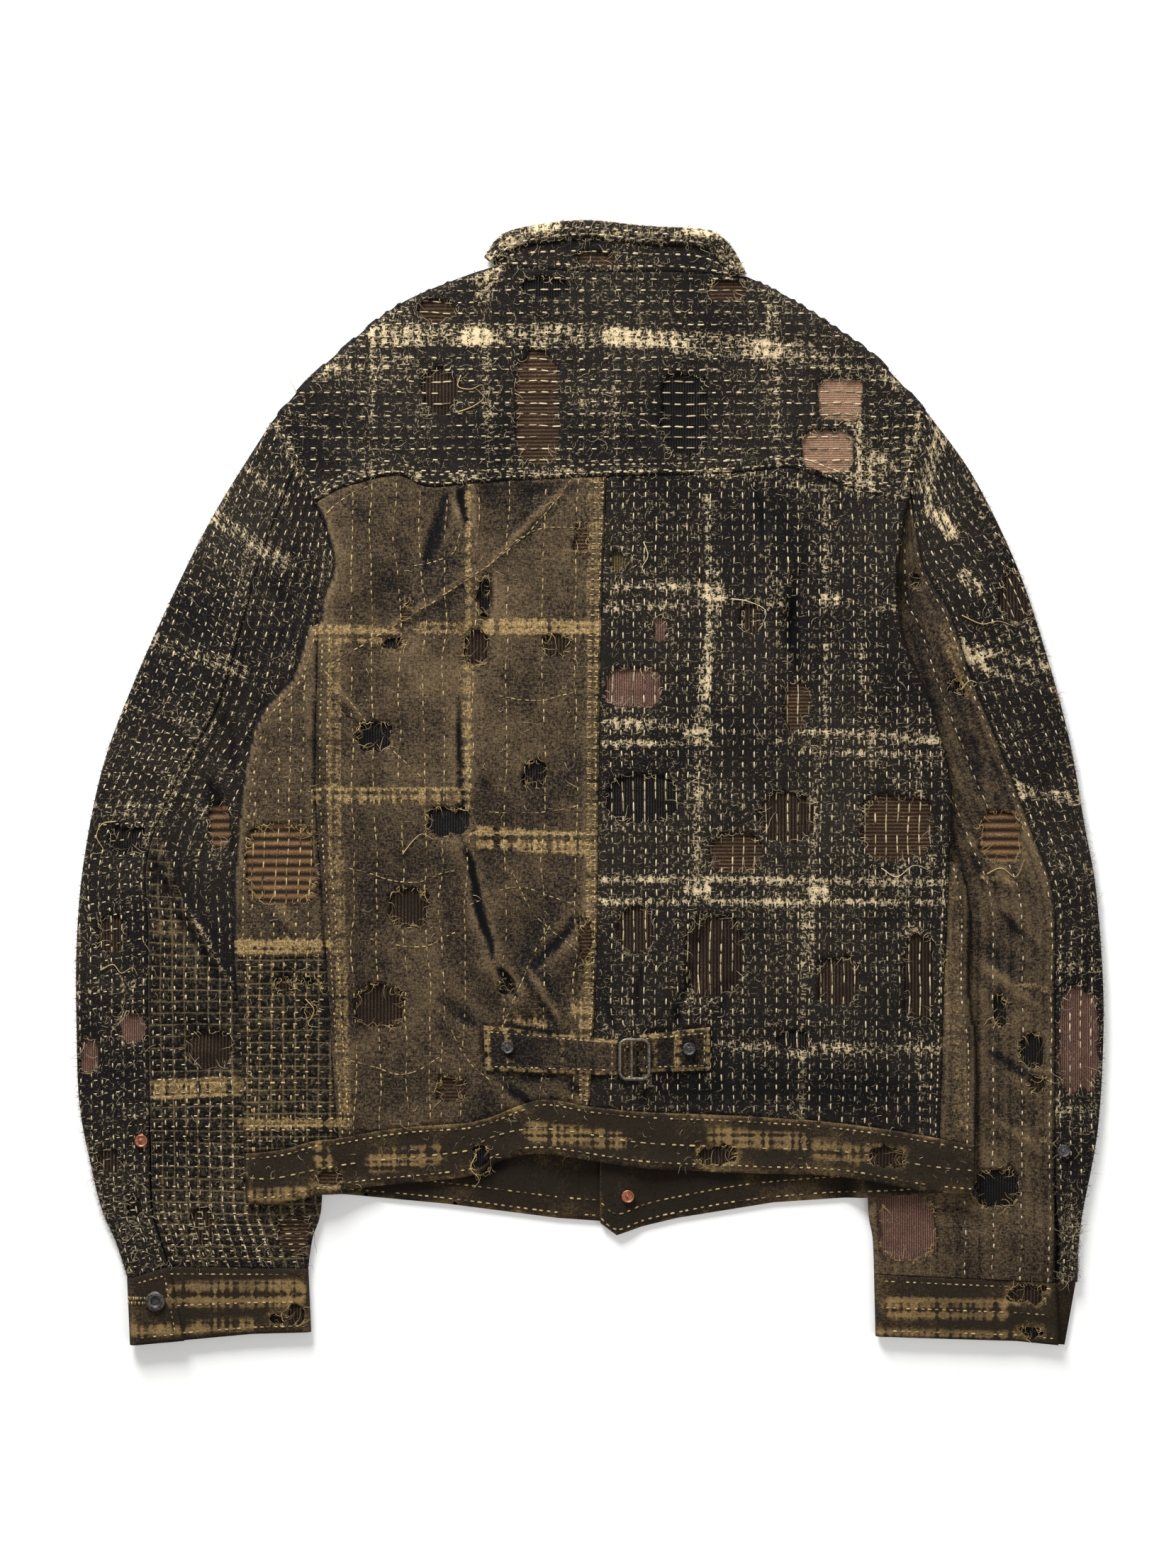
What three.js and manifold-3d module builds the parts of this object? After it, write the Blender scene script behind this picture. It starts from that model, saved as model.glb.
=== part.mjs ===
// Patched boro jacket, laid flat with its back up and its collar toward +Y.
// Lengths are in millimetres, +Z is up, and the cloth rests on z = 0.
import * as THREE from 'three';
import { mergeVertices } from 'three/addons/utils/BufferGeometryUtils.js';
import Module from 'manifold-3d';

const wasm = await Module();
wasm.setup();

// Cloth and its layers
const CLOTH = 2.2; // quilted wall of the panels and sleeves
const HEM_CLOTH = 2.8; // folded wall of the hem and cuffs
const PATCH_CLOTH = 1.0; // backing patch behind a rip
const SEAM = 0.3; // gap between two sewn pieces
const SEAT = 0.4; // gap under what lies on a panel
const AIR = 2.6; // space between the fronts and the back
const SLEEVE_HEIGHT = 8; // flattened sleeve, both walls
const CUFF_HEIGHT = 8; // flattened cuff, both walls
const SLEEVE_CLEAR = 0.5; // between a sleeve and the fronts on it
const FRONT_RAMP = 16; // width over which a front comes down beside a sleeve
const BACK_RAMP = 45; // the same for the back, which bridges the step
const FOLD_STEPS = 3; // steps round a folded edge

// Heights of the middle of each wall above the floor, away from the sleeves
const FRONT_MID = CLOTH / 2;
const BACK_MID = 1.5 * CLOTH + AIR;
const ROLL = BACK_MID - FRONT_MID - 0.2; // radius of the back's edge where it rolls down to the fronts

// Front opening
const PLACKET = { left: 7, right: 20, rampEnd: 38, rise: CLOTH + SEAM };

// Hardware
const RIVET = { radius: 4.5, height: 2.4, pip: 1.6 };
const BUTTON = { radius: 7.25, hole: 2.5, height: 3.6, rim: 1.2 };
const BUCKLE = { left: 20, right: 43, top: -179, bottom: -209, wire: 2.4 };
const STRAP_CLOTH = 1.8;

const table = (columns, rows) => {
  const names = columns.split(' ');
  return rows.map((row) => Object.fromEntries(names.map((name, i) => [name, row[i]])));
};

// Sleeve stations, shoulder to cuff: the outer fold, the top seam and the inner fold under the body.
// show is the width that the body leaves bare, puff how far it swells, vent the half gap at the seam.
const STATION = 'outerX outerY seamX seamY innerX innerY show puff vent';
const SLEEVES = {
  left: table(STATION, [
    [-226, 254, -207, 224, -176, 160, 80, 0, 0.15],
    [-263, 195, -231, 161, -186, 125, 88, 3, 0.15],
    [-290, 143, -245, 110, -193, 75, 92, 5, 0.15],
    [-320, 77, -262, 54, -195, 30, 84, 6, 0.15],
    [-344, 13, -287, 9, -193, -15, 90, 5, 0.15],
    [-358, -56, -311, -50, -192, -60, 100, 6, 0.15],
    [-363, -115, -311, -105, -191, -110, 102, 5, 0.15],
    [-363, -174, -311, -165, -190, -165, 106, 6, 0.15],
    [-361, -227, -310, -222, -190, -220, 104, 5, 0.15],
    [-353, -270, -310, -262, -189, -265, 96, 2, 0.6],
    [-345, -302, -309, -300, -190, -302, 96, 0, 0.8],
    [-335, -325, -303, -322, -196, -322, 130, 2, 0.8],
    [-327, -350, -297, -341, -199, -342.5, 128, 0, 0.8],
  ]),
  right: table(STATION, [
    [237, 264, 226, 205, 216, 150, 80, 0, 0.15],
    [271, 217, 236, 153, 214, 120, 98, 3, 0.15],
    [303, 151, 253, 121, 210, 90, 88, 5, 0.15],
    [325, 84, 271, 70, 204, 45, 78, 5, 0.15],
    [340, 27, 292, 17, 200, 0, 80, 6, 0.15],
    [350, -30, 311, -33, 198, -50, 84, 5, 0.15],
    [358, -75, 327, -80, 197, -95, 86, 6, 0.15],
    [363, -140, 328, -142, 196, -150, 86, 6, 0.15],
    [363, -190, 328, -190, 196, -200, 80, 6, 0.15],
    [359, -248, 328, -248, 196, -250, 78, 4, 0.15],
    [349, -302, 329, -300, 197, -302, 66, 0, 1],
    [346, -325, 330, -325, 200, -322, 140, 2, 2.5],
    [345, -352.7, 329, -352.7, 201, -346.7, 140, 0, 2.5],
  ]),
};

// Plan curves of the body, each from its upper or left end
const NECK = [[-66, 366], [-35, 363], [10, 361], [60, 361], [102, 359]];
const SHOULDER_LEFT = [[-226, 254], [-201, 283], [-175, 307], [-136, 338], [-93, 357], [-66, 366]];
const SHOULDER_RIGHT = [[102, 359], [114, 357], [150, 338], [197, 306], [216, 287], [237, 264]];
const ARMHOLE_LEFT = [[-226, 254], [-207, 224], [-194, 197]];
const ARMHOLE_RIGHT = [[237, 264], [226, 205], [224.5, 197]];
const YOKE_SEAM_LEFT = [[-194, 197], [-172, 209], [-136, 217], [-113, 209], [-61, 213], [12, 216]];
const YOKE_SEAM_RIGHT = [[12, 216], [60, 217], [117, 220], [144, 222], [182, 209], [224.5, 197]];
const CENTRE_SEAM = [[12, 216], [8, 100], [6, -30], [5, -130], [0, -228]];
const FREE_EDGE_LEFT = [[-194, 197], [-187.5, 186], [-185, 176], [-180, 154], [-187, 132], [-191, 112]];
const SIDE_SEAM_LEFT = [[-191, 112], [-193, -2], [-187, -98], [-181, -198], [-177, -250]];
const SIDE_EDGE_LEFT = [
  [-199, 109], [-210, 75], [-235, 43], [-247, -20], [-251, -100], [-246, -181], [-244, -261],
];
const FREE_EDGE_RIGHT = [
  [224.5, 197], [221.5, 186], [221, 176], [218, 155], [217, 130],
  [223, 97], [240, 57], [253, 9], [256, -28], [253, -55],
];
const SIDE_SEAM_RIGHT = [[253, -55], [249, -148], [248, -198], [246, -250]];
const SIDE_EDGE_RIGHT = [[262, -57], [268, -87], [268, -148], [273, -189], [272, -255]];
const SIDE_HEM_LEFT = [[-244, -261], [-217, -258], [-195, -252], [-177, -250]];
const BACK_HEM_LEFT = [[-177, -250], [-130, -243], [-81, -239], [-49, -227], [-30, -223], [0, -228]];
const BACK_HEM_RIGHT = [[0, -228], [38, -232], [105, -235], [180, -240], [229, -247], [246, -250]];
const SIDE_HEM_RIGHT = [[246, -250], [272, -255]];
const HEM_EDGE = [
  [-242, -296], [-219, -296], [-172, -287], [-86, -278], [-63, -267], [-30, -262],
  [38, -272], [120, -276], [180, -278], [233, -287], [271, -291],
];
const COLLAR_EDGE = [[-75, 372], [-58, 390], [-8, 398], [40, 394], [82, 391], [99, 381], [111, 360]];

// Side and centre edges of the hidden fronts, a row for each level
const FRONTS = table('y left right scoop', [
  [344, -112, 134, 62],
  [320, -152, 170, 40],
  [290, -186, 203, 12],
  [254, -217, 230, 0],
  [224, -203, 226, 0],
  [197, -188, 220, 0],
  [176, -174, 212, 0],
  [154, -167, 208, 0],
  [132, -177, 209, 0],
  [112, -184, 213, 0],
  [73, -204, 227, 0],
  [43, -230, 239, 0],
  [-20, -242, 251, 0],
  [-57, -244, 249, 0],
  [-100, -246, 263, 0],
  [-181, -241, 266, 0],
  [-257.7, -238, 266, 0],
]);
const FRONT_HEM_TOP = -258;
const FRONT_HEM_LEFT = [[-236, -289], [-176, -291], [-101, -298], [-23, -308], [20, -311]];
const FRONT_HEM_RIGHT = [[7, -311], [19, -320], [37, -314], [62, -308], [130, -297], [265, -288]];

// Folds, pleats and gathers of the back, each a ridge or a trough along a line
const FOLDS = table('fromX fromY toX toY width rise', [
  [-84, 216, -82, 150, 12, 3.5], // left pleat under the yoke
  [-100, 200, -112, 150, 9, -1],
  [-92, 20, -90, -42, 12, 2.5], // tuck that curves into the cinch
  [-90, -42, -69, -128, 14, 4],
  [-69, -128, -53, -148, 12, 4.5],
  [-40, -150, 1, -94, 14, 4],
  [118, 218, 123, 163, 12, 3], // right pleat under the yoke
  [123, 163, 136, 134, 14, 4],
  [130, 134, 132, 77, 14, 4.5],
  [148, 137, 149, 77, 9, -1],
  [66, -95, 48, -165, 13, 4], // gathers right of the buckle
  [95, -95, 78, -165, 13, 3.5],
  [35, -122, 33, -172, 10, 3],
  [-45, -228, -20, -268, 18, 3], // the hem lifts under the cinch
  [-172, 150, -140, 90, 20, 2.5], // swell beside the armholes
  [212, 140, 185, 70, 20, 2.5],
  [-100, 60, -110, -70, 60, 2], // slack of the back
  [120, 40, 110, -60, 70, 2],
  [-150, -205, 200, -205, 32, 2],
]);

// Rips worn through the outer cloth, the largest of each panel
const RIPS = table('panel x y width height', [
  ['back_yoke', 67, 260, 34, 60],
  ['back_yoke', -106, 277, 26, 34],
  ['back_yoke', 168, 234, 36, 30],
  ['back_left', -80, 95, 17, 26],
  ['back_left', -24, 97, 17, 18],
  ['back_left', -152, 33, 24, 20],
  ['back_left', -39, 6, 16, 20],
  ['back_left', -128, -88, 28, 28],
  ['back_left', -148, -158, 33, 30],
  ['back_left', -98, -216, 20, 18],
  ['side_left', -215, -143, 12, 13],
  ['back_right', 37, -11, 52, 34],
  ['back_right', 114, 116, 15, 20],
  ['back_right', 146, 54, 18, 36],
  ['back_right', 33, -104, 26, 36],
  ['back_right', 175, -140, 30, 34],
  ['hem_back', 208, -263, 26, 14],
  ['sleeve_left_inner', -268, -188, 32, 26],
  ['sleeve_left_outer', -337, -107, 22, 26],
  ['sleeve_right_inner', 290, -38, 28, 36],
  ['sleeve_right_inner', 288, -286, 30, 28],
  ['sleeve_right_inner', 311, -188, 16, 26],
]);
const RIP_MARGIN = 1; // a backing patch reaches past its rip by this and up to a grid cell more

// Colours of the cloths and metals
const COLOUR = {
  charcoal: 0x2b2b2d, olive: 0x4b4030, black: 0x1e2026, ochre: 0x8f7a52,
  brown: 0x5a4230, mauve: 0x8a6a5c, gunmetal: 0x3c3a3a, copper: 0xb06e52, steel: 0x9a968e,
};

const mix = (a, b, t) => a + (b - a) * t;
const clamp01 = (t) => Math.min(1, Math.max(0, t));
const smooth = (t) => clamp01(t) ** 2 * (3 - 2 * clamp01(t));

// Value of a table's column at a level, straight between rows that run from high to low
function level(rows, key, value, at) {
  const last = rows.length - 1;
  if (at >= rows[0][key]) return rows[0][value];
  if (at <= rows[last][key]) return rows[last][value];
  const i = rows.findIndex((row) => row[key] <= at);
  const t = (rows[i - 1][key] - at) / (rows[i - 1][key] - rows[i][key]);
  return mix(rows[i - 1][value], rows[i][value], t);
}

const vectors = (points) => points.map(([x, y]) => new THREE.Vector2(x, y));
const along = (points, steps) => new THREE.SplineCurve(vectors(points)).getSpacedPoints(steps);

// Straight stretches with the same number of steps in each
function straight(points, steps) {
  const corners = vectors(points);
  const out = [corners[0].clone()];
  for (let i = 1; i < corners.length; i++) {
    for (let k = 1; k <= steps; k++) out.push(corners[i - 1].clone().lerp(corners[i], k / steps));
  }
  return out;
}

const joined = (...runs) => runs.reduce((all, run) => all.concat(all.length ? run.slice(1) : run), []);

// Inner fold of each sleeve as the body meets it: the armhole first, then the hidden edge
const armholeRows = ({ outerX, outerY, seamX, seamY }) => [
  { x: outerX, y: outerY }, { x: seamX, y: seamY },
];
const innerFold = Object.fromEntries(Object.entries(SLEEVES).map(([side, rows]) => [
  side, armholeRows(rows[0]).concat(rows.map(({ innerX, innerY }) => ({ x: innerX, y: innerY }))),
]));
const ARMHOLE = { rise: 1, full: SLEEVE_HEIGHT + SLEEVE_CLEAR, top: 225, drop: 45 };
const FOLD_MARGIN = 2; // a sleeve's height is kept this far past its fold

// How far the sleeve under a side lifts the body there
function lift(x, y, ramp) {
  const raise = mix(ARMHOLE.rise, ARMHOLE.full, smooth((ARMHOLE.top - y) / ARMHOLE.drop));
  const past = Math.max(level(innerFold.left, 'y', 'x', y) - x, x - level(innerFold.right, 'y', 'x', y));
  return raise * smooth((past + FOLD_MARGIN + ramp) / ramp);
}

function foldRise(x, y) {
  const point = new THREE.Vector3(x, y, 0);
  const near = new THREE.Vector3();
  let rise = 0;
  for (const fold of FOLDS) {
    const from = new THREE.Vector3(fold.fromX, fold.fromY, 0);
    const line = new THREE.Line3(from, new THREE.Vector3(fold.toX, fold.toY, 0));
    line.closestPointToPoint(point, true, near);
    rise += fold.rise * Math.exp(-((near.distanceTo(point) / fold.width) ** 2));
  }
  return rise;
}

// The fronts lap at the centre, so the back is higher there below the neck
const LAP = { centre: 14, flat: 16, fall: 44, top: 330, fade: 60, extra: 0.5 };
function lapRise(x, y) {
  const across = 1 - smooth((Math.abs(x - LAP.centre) - LAP.flat) / LAP.fall);
  return (PLACKET.rise + LAP.extra) * across * smooth((LAP.top - y) / LAP.fade);
}

const backMid = (x, y) => BACK_MID + lift(x, y, BACK_RAMP) + lapRise(x, y) + foldRise(x, y);
const frontMid = (x, y) => FRONT_MID + lift(x, y, FRONT_RAMP);

const UP = new THREE.Vector3(0, 0, 1);

// Points of a panel between four edges, rows from top to bottom
function patchOf({ top, bottom, left, right }) {
  const columns = top.length - 1;
  const rows = left.length - 1;
  return left.map((_, j) => top.map((__, i) => {
    const u = i / columns;
    const v = j / rows;
    const point = new THREE.Vector2();
    point.addScaledVector(top[i], 1 - v).addScaledVector(bottom[i], v);
    point.addScaledVector(left[j], 1 - u).addScaledVector(right[j], u);
    point.addScaledVector(top[0], -(1 - u) * (1 - v)).addScaledVector(top[columns], -u * (1 - v));
    point.addScaledVector(bottom[0], -(1 - u) * v).addScaledVector(bottom[columns], -u * v);
    return point;
  }));
}

// Lays plan points at a height, with the wall's thickness straight up
const drape = (plan, mid) => plan.map((row) => row.map(({ x, y }) => (
  { at: new THREE.Vector3(x, y, mid(x, y)), out: UP.clone() }
)));

const turned = (grid) => grid[0].map((_, i) => grid.map((row) => row[i]));

// Draws the first and last point of each row in by a distance
function drawRowsIn(grid, first, last) {
  const step = (from, to, by) => {
    const inward = to.at.clone().sub(from.at).setZ(0).normalize();
    from.at.addScaledVector(inward, by);
  };
  grid.forEach((row, j) => {
    const end = row.length - 1;
    step(row[0], row[1], first(j));
    step(row[end], row[end - 1], last(j));
  });
}

const seamIn = () => SEAM / 2;

// Rolls the first point of each row down: roll(j) is 1 for a rolled edge and 0 for a flat one
function rollRows(grid, roll) {
  drawRowsIn(grid, (j) => ROLL + mix(SEAM / 2, CLOTH / 2, roll(j)), () => 0);
  grid.forEach((row, j) => {
    const edge = row[0];
    const outward = edge.at.clone().sub(row[1].at).setZ(0).normalize();
    for (let k = 1; k <= FOLD_STEPS; k++) {
      const angle = (Math.PI / 2) * (1 - k / FOLD_STEPS);
      const at = edge.at.clone().addScaledVector(outward, ROLL * Math.cos(angle));
      at.z -= roll(j) * ROLL * (1 - Math.sin(angle));
      const bent = outward.clone().multiplyScalar(Math.cos(angle)).addScaledVector(UP, Math.sin(angle));
      row.unshift({ at, out: UP.clone().lerp(bent, roll(j)).normalize() });
    }
  });
}

function geometryFrom(points, triangles) {
  const geometry = new THREE.BufferGeometry();
  const numbers = points.flatMap(({ x, y, z }) => [x, y, z]);
  geometry.setAttribute('position', new THREE.Float32BufferAttribute(numbers, 3));
  geometry.setIndex(triangles);
  return geometry;
}

// Closed wall of a thickness about a grid of middle points
function wall(grid, thickness = CLOTH) {
  const rows = grid.length;
  const columns = grid[0].length;
  const side = (half) => grid.flat().map(({ at, out }) => at.clone().addScaledVector(out, half));
  const points = side(thickness / 2).concat(side(-thickness / 2));
  const under = rows * columns;
  const index = (j, i) => j * columns + i;
  const triangles = [];
  const quad = (a, b, c, d) => triangles.push(a, b, c, a, c, d);
  for (let j = 0; j + 1 < rows; j++) {
    for (let i = 0; i + 1 < columns; i++) {
      const [a, b, c, d] = [index(j, i), index(j + 1, i), index(j + 1, i + 1), index(j, i + 1)];
      quad(a, b, c, d);
      quad(under + a, under + d, under + c, under + b);
    }
  }
  const rim = (a, b) => quad(a, under + a, under + b, b);
  for (let i = 0; i + 1 < columns; i++) {
    rim(index(0, i + 1), index(0, i));
    rim(index(rows - 1, i), index(rows - 1, i + 1));
  }
  for (let j = 0; j + 1 < rows; j++) {
    rim(index(j, 0), index(j + 1, 0));
    rim(index(j + 1, columns - 1), index(j, columns - 1));
  }
  const geometry = geometryFrom(points, triangles);
  if (volumeOf(geometry) < 0) geometry.setIndex(triangles.reverse());
  return geometry;
}

function volumeOf(geometry) {
  const position = geometry.getAttribute('position');
  const index = geometry.getIndex().array;
  const corner = [0, 1, 2].map(() => new THREE.Vector3());
  let sum = 0;
  for (let i = 0; i < index.length; i += 3) {
    corner.forEach((vector, k) => vector.fromBufferAttribute(position, index[i + k]));
    sum += corner[0].dot(corner[1].clone().cross(corner[2]));
  }
  return sum / 6;
}

function solidOf(geometry) {
  const bare = geometry.clone();
  bare.deleteAttribute('normal');
  bare.deleteAttribute('uv');
  const merged = mergeVertices(bare);
  return new wasm.Manifold(new wasm.Mesh({
    numProp: 3,
    vertProperties: new Float32Array(merged.getAttribute('position').array),
    triVerts: new Uint32Array(merged.getIndex().array),
  }));
}

function geometryOf(solid) {
  const { vertProperties, triVerts, numProp } = solid.getMesh();
  const points = [];
  for (let i = 0; i < vertProperties.length; i += numProp) {
    points.push(new THREE.Vector3().fromArray(vertProperties, i));
  }
  return geometryFrom(points, Array.from(triVerts));
}

// Ragged upright prism of a rip, whose corners wander by a wave that differs from rip to rip
const RAGGED = {
  corners: 10, wobble: 0.16, squareness: 0.75, high: 60,
  wave: { corner: 5.1, x: 0.37, y: 0.21 },
};
function ripPrism({ x, y, width, height }, low) {
  const { wave } = RAGGED;
  const outline = [];
  for (let k = 0; k < RAGGED.corners; k++) {
    const angle = (2 * Math.PI * k) / RAGGED.corners;
    const phase = wave.corner * k + wave.x * x + wave.y * y;
    const reach = 1 - RAGGED.wobble * (0.5 + 0.5 * Math.sin(phase));
    const bulge = (cosine) => Math.sign(cosine) * Math.abs(cosine) ** RAGGED.squareness;
    outline.push(new THREE.Vector2(
      x + 0.5 * width * reach * bulge(Math.cos(angle)),
      y + 0.5 * height * reach * bulge(Math.sin(angle)),
    ));
  }
  const depth = RAGGED.high - low;
  const shape = new THREE.Shape(outline);
  return new THREE.ExtrudeGeometry(shape, { depth, bevelEnabled: false }).translate(0, 0, low);
}

// Backing patch of a rip: the panel's own points round it, moved in
function backing(grid, { x, y, width, height }) {
  const inside = ({ at, out }) => out.z > 0.99
    && Math.abs(at.x - x) < width / 2 + RIP_MARGIN && Math.abs(at.y - y) < height / 2 + RIP_MARGIN;
  const rows = grid.flatMap((row, j) => (row.some(inside) ? [j] : []));
  const columns = grid[0].flatMap((_, i) => (grid.some((row) => inside(row[i])) ? [i] : []));
  const span = (list, size) => [Math.max(0, list[0] - 1), Math.min(size - 1, list[list.length - 1] + 1)];
  const [j0, j1] = span(rows, grid.length);
  const [i0, i1] = span(columns, grid[0].length);
  const drop = CLOTH / 2 + SEAM + PATCH_CLOTH / 2;
  return grid.slice(j0, j1 + 1).map((row) => row.slice(i0, i1 + 1).map(({ at, out }) => (
    { at: at.clone().addScaledVector(out, -drop), out: out.clone() }
  )));
}

const jacket = new THREE.Group();
const panels = {};

function addMesh(name, geometry, color, { metalness = 0, roughness = 0.9 } = {}) {
  const material = new THREE.MeshStandardMaterial({ color, roughness, metalness });
  const mesh = new THREE.Mesh(geometry, material);
  mesh.name = name;
  jacket.add(mesh);
  return mesh;
}

// Adds a cloth panel with its rips cut through and a backing patch behind each
const RIPS_FROM = -5; // a rip of the body is cut from below the floor up
function addPanel(name, grid, colour, { thickness = CLOTH, ripsFrom = RIPS_FROM } = {}) {
  panels[name] = { grid, thickness };
  let solid = solidOf(wall(grid, thickness));
  RIPS.filter(({ panel }) => panel === name).forEach((rip, i) => {
    solid = solid.subtract(solidOf(ripPrism(rip, ripsFrom)));
    const patchColour = i % 2 ? COLOUR.mauve : COLOUR.brown;
    addMesh(`patch_${name}_${i + 1}`, wall(backing(grid, rip), PATCH_CLOTH), patchColour);
  });
  addMesh(name, geometryOf(solid), colour);
}

// Back panels, which share the points of their seams
const STEPS = {
  shoulder: 9, neck: 10, armhole: 3, backLeft: 13, backRight: 15,
  freeLeft: 5, sideLeft: 17, freeRight: 13, sideRight: 9,
  sideHemLeft: 4, sideHemRight: 2, hem: 3,
};
const neck = along(NECK, STEPS.neck);
const yokeTop = joined(along(SHOULDER_LEFT, STEPS.shoulder), neck, along(SHOULDER_RIGHT, STEPS.shoulder));
const yokeSeamLeft = along(YOKE_SEAM_LEFT, STEPS.backLeft);
const yokeSeamRight = along(YOKE_SEAM_RIGHT, STEPS.backRight);
const centreSeam = along(CENTRE_SEAM, STEPS.freeLeft + STEPS.sideLeft);
const sideSeamLeft = along(SIDE_SEAM_LEFT, STEPS.sideLeft);
const sideSeamRight = along(SIDE_SEAM_RIGHT, STEPS.sideRight);
const backHemLeft = along(BACK_HEM_LEFT, STEPS.backLeft);
const backHemRight = along(BACK_HEM_RIGHT, STEPS.backRight);
const sideHemLeft = along(SIDE_HEM_LEFT, STEPS.sideHemLeft);
const sideHemRight = along(SIDE_HEM_RIGHT, STEPS.sideHemRight);

function backYoke() {
  const plan = patchOf({
    top: yokeTop,
    bottom: joined(yokeSeamLeft, yokeSeamRight),
    left: straight(ARMHOLE_LEFT, STEPS.armhole),
    right: straight(ARMHOLE_RIGHT, STEPS.armhole),
  });
  const columns = turned(drape(plan, backMid));
  const end = columns.length - 1;
  // the shoulders roll down, the neck and the two armholes stay flat
  const onShoulder = (i) => (i > 0 && i < STEPS.shoulder) || (i > end - STEPS.shoulder && i < end);
  drawRowsIn(columns, () => 0, seamIn);
  rollRows(columns, (i) => (onShoulder(i) ? 1 : 0));
  const rows = turned(columns);
  drawRowsIn(rows, seamIn, seamIn);
  return rows;
}

function backHalf(plan, freeRows, edgeFirst) {
  const rows = drape(plan, backMid);
  const columns = turned(rows);
  drawRowsIn(columns, seamIn, seamIn);
  const ordered = turned(columns).map((row) => (edgeFirst ? row : row.reverse()));
  drawRowsIn(ordered, () => 0, seamIn);
  rollRows(ordered, (j) => (j > 0 && j < freeRows ? 1 : 0));
  return ordered.map((row) => (edgeFirst ? row : row.reverse()));
}

addPanel('back_yoke', backYoke(), COLOUR.charcoal);
addPanel('back_left', backHalf(patchOf({
  top: yokeSeamLeft, bottom: backHemLeft, right: centreSeam,
  left: joined(along(FREE_EDGE_LEFT, STEPS.freeLeft), sideSeamLeft),
}), STEPS.freeLeft, true), COLOUR.olive);
addPanel('back_right', backHalf(patchOf({
  top: yokeSeamRight, bottom: backHemRight, left: centreSeam,
  right: joined(along(FREE_EDGE_RIGHT, STEPS.freeRight), sideSeamRight),
}), STEPS.freeRight, false), COLOUR.charcoal);

// Side strips, rolled down along the body's edge
function sideStrip(plan, edgeFirst) {
  const columns = turned(drape(plan, backMid));
  drawRowsIn(columns, seamIn, seamIn);
  const rows = turned(columns).map((row) => (edgeFirst ? row : row.reverse()));
  drawRowsIn(rows, () => 0, seamIn);
  rollRows(rows, (j) => (j > 0 ? 1 : 0));
  return rows.map((row) => (edgeFirst ? row : row.reverse()));
}

const sideTopLeft = straight([SIDE_EDGE_LEFT[0], SIDE_SEAM_LEFT[0]], STEPS.sideHemLeft);
const sideTopRight = straight([SIDE_SEAM_RIGHT[0], SIDE_EDGE_RIGHT[0]], STEPS.sideHemRight);
addPanel('side_left', sideStrip(patchOf({
  top: sideTopLeft, bottom: sideHemLeft, left: along(SIDE_EDGE_LEFT, STEPS.sideLeft), right: sideSeamLeft,
}), true), COLOUR.ochre);
addPanel('side_right', sideStrip(patchOf({
  top: sideTopRight, bottom: sideHemRight,
  left: sideSeamRight, right: along(SIDE_EDGE_RIGHT, STEPS.sideRight),
}), false), COLOUR.ochre);

// Hem band of the back
function hemBack() {
  const top = joined(sideHemLeft, backHemLeft, backHemRight, sideHemRight);
  const bottom = along(HEM_EDGE, top.length - 1);
  const columns = turned(drape(patchOf({
    top, bottom, left: straight([SIDE_HEM_LEFT[0], HEM_EDGE[0]], STEPS.hem),
    right: straight([SIDE_HEM_RIGHT[1], HEM_EDGE[HEM_EDGE.length - 1]], STEPS.hem),
  }), backMid));
  drawRowsIn(columns, seamIn, () => 0);
  const rows = turned(columns);
  rollRows(rows, () => 1);
  const reversed = rows.map((row) => row.reverse());
  rollRows(reversed, () => 1);
  return reversed;
}
addPanel('hem_back', hemBack(), COLOUR.black, { thickness: HEM_CLOTH });

// Highest face of the named panels over a point
function topAt(names, x, y) {
  let top = -Infinity;
  const over = (a, b, c) => {
    const area = (b.x - a.x) * (c.y - a.y) - (c.x - a.x) * (b.y - a.y);
    const v = ((x - a.x) * (c.y - a.y) - (c.x - a.x) * (y - a.y)) / area;
    const w = ((b.x - a.x) * (y - a.y) - (x - a.x) * (b.y - a.y)) / area;
    if (v >= 0 && w >= 0 && v + w <= 1) top = Math.max(top, a.z + v * (b.z - a.z) + w * (c.z - a.z));
  };
  for (const { grid, thickness } of names.map((name) => panels[name])) {
    const raised = ({ at, out }) => at.clone().addScaledVector(out, thickness / 2);
    const face = grid.map((row) => row.map(raised));
    for (let j = 0; j + 1 < face.length; j++) {
      for (let i = 0; i + 1 < face[j].length; i++) {
        over(face[j][i], face[j + 1][i], face[j + 1][i + 1]);
        over(face[j][i], face[j + 1][i + 1], face[j][i + 1]);
      }
    }
  }
  return top;
}

// Height at which something of a reach rests clear on the named panels
function restAt(names, x, y, reach) {
  const steps = [-reach, 0, reach];
  return SEAT + Math.max(...steps.flatMap((dx) => steps.map((dy) => topAt(names, x + dx, y + dy))));
}

// A section runs flat and round its folds: s along it, z up, and the way its outside faces
const flat = (from, to, z, facing, steps) => Array.from({ length: steps + 1 }, (_, k) => (
  { s: mix(from, to, k / steps), z, outS: 0, outZ: facing }
));
const bend = (s, z, radius, from, to) => Array.from({ length: FOLD_STEPS + 2 }, (_, k) => {
  const angle = mix(from, to, k / (FOLD_STEPS + 1));
  const [outS, outZ] = [Math.cos(angle), Math.sin(angle)];
  return { s: s + radius * outS, z: z + radius * outZ, outS, outZ };
});
const QUARTER = Math.PI / 2;

// Puts a section on a line in plan
const placed = (section, start, direction) => section.map(({ s, z, outS, outZ }) => ({
  at: new THREE.Vector3(start.x + direction.x * s, start.y + direction.y * s, z),
  out: new THREE.Vector3(direction.x * outS, direction.y * outS, outZ),
}));

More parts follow.
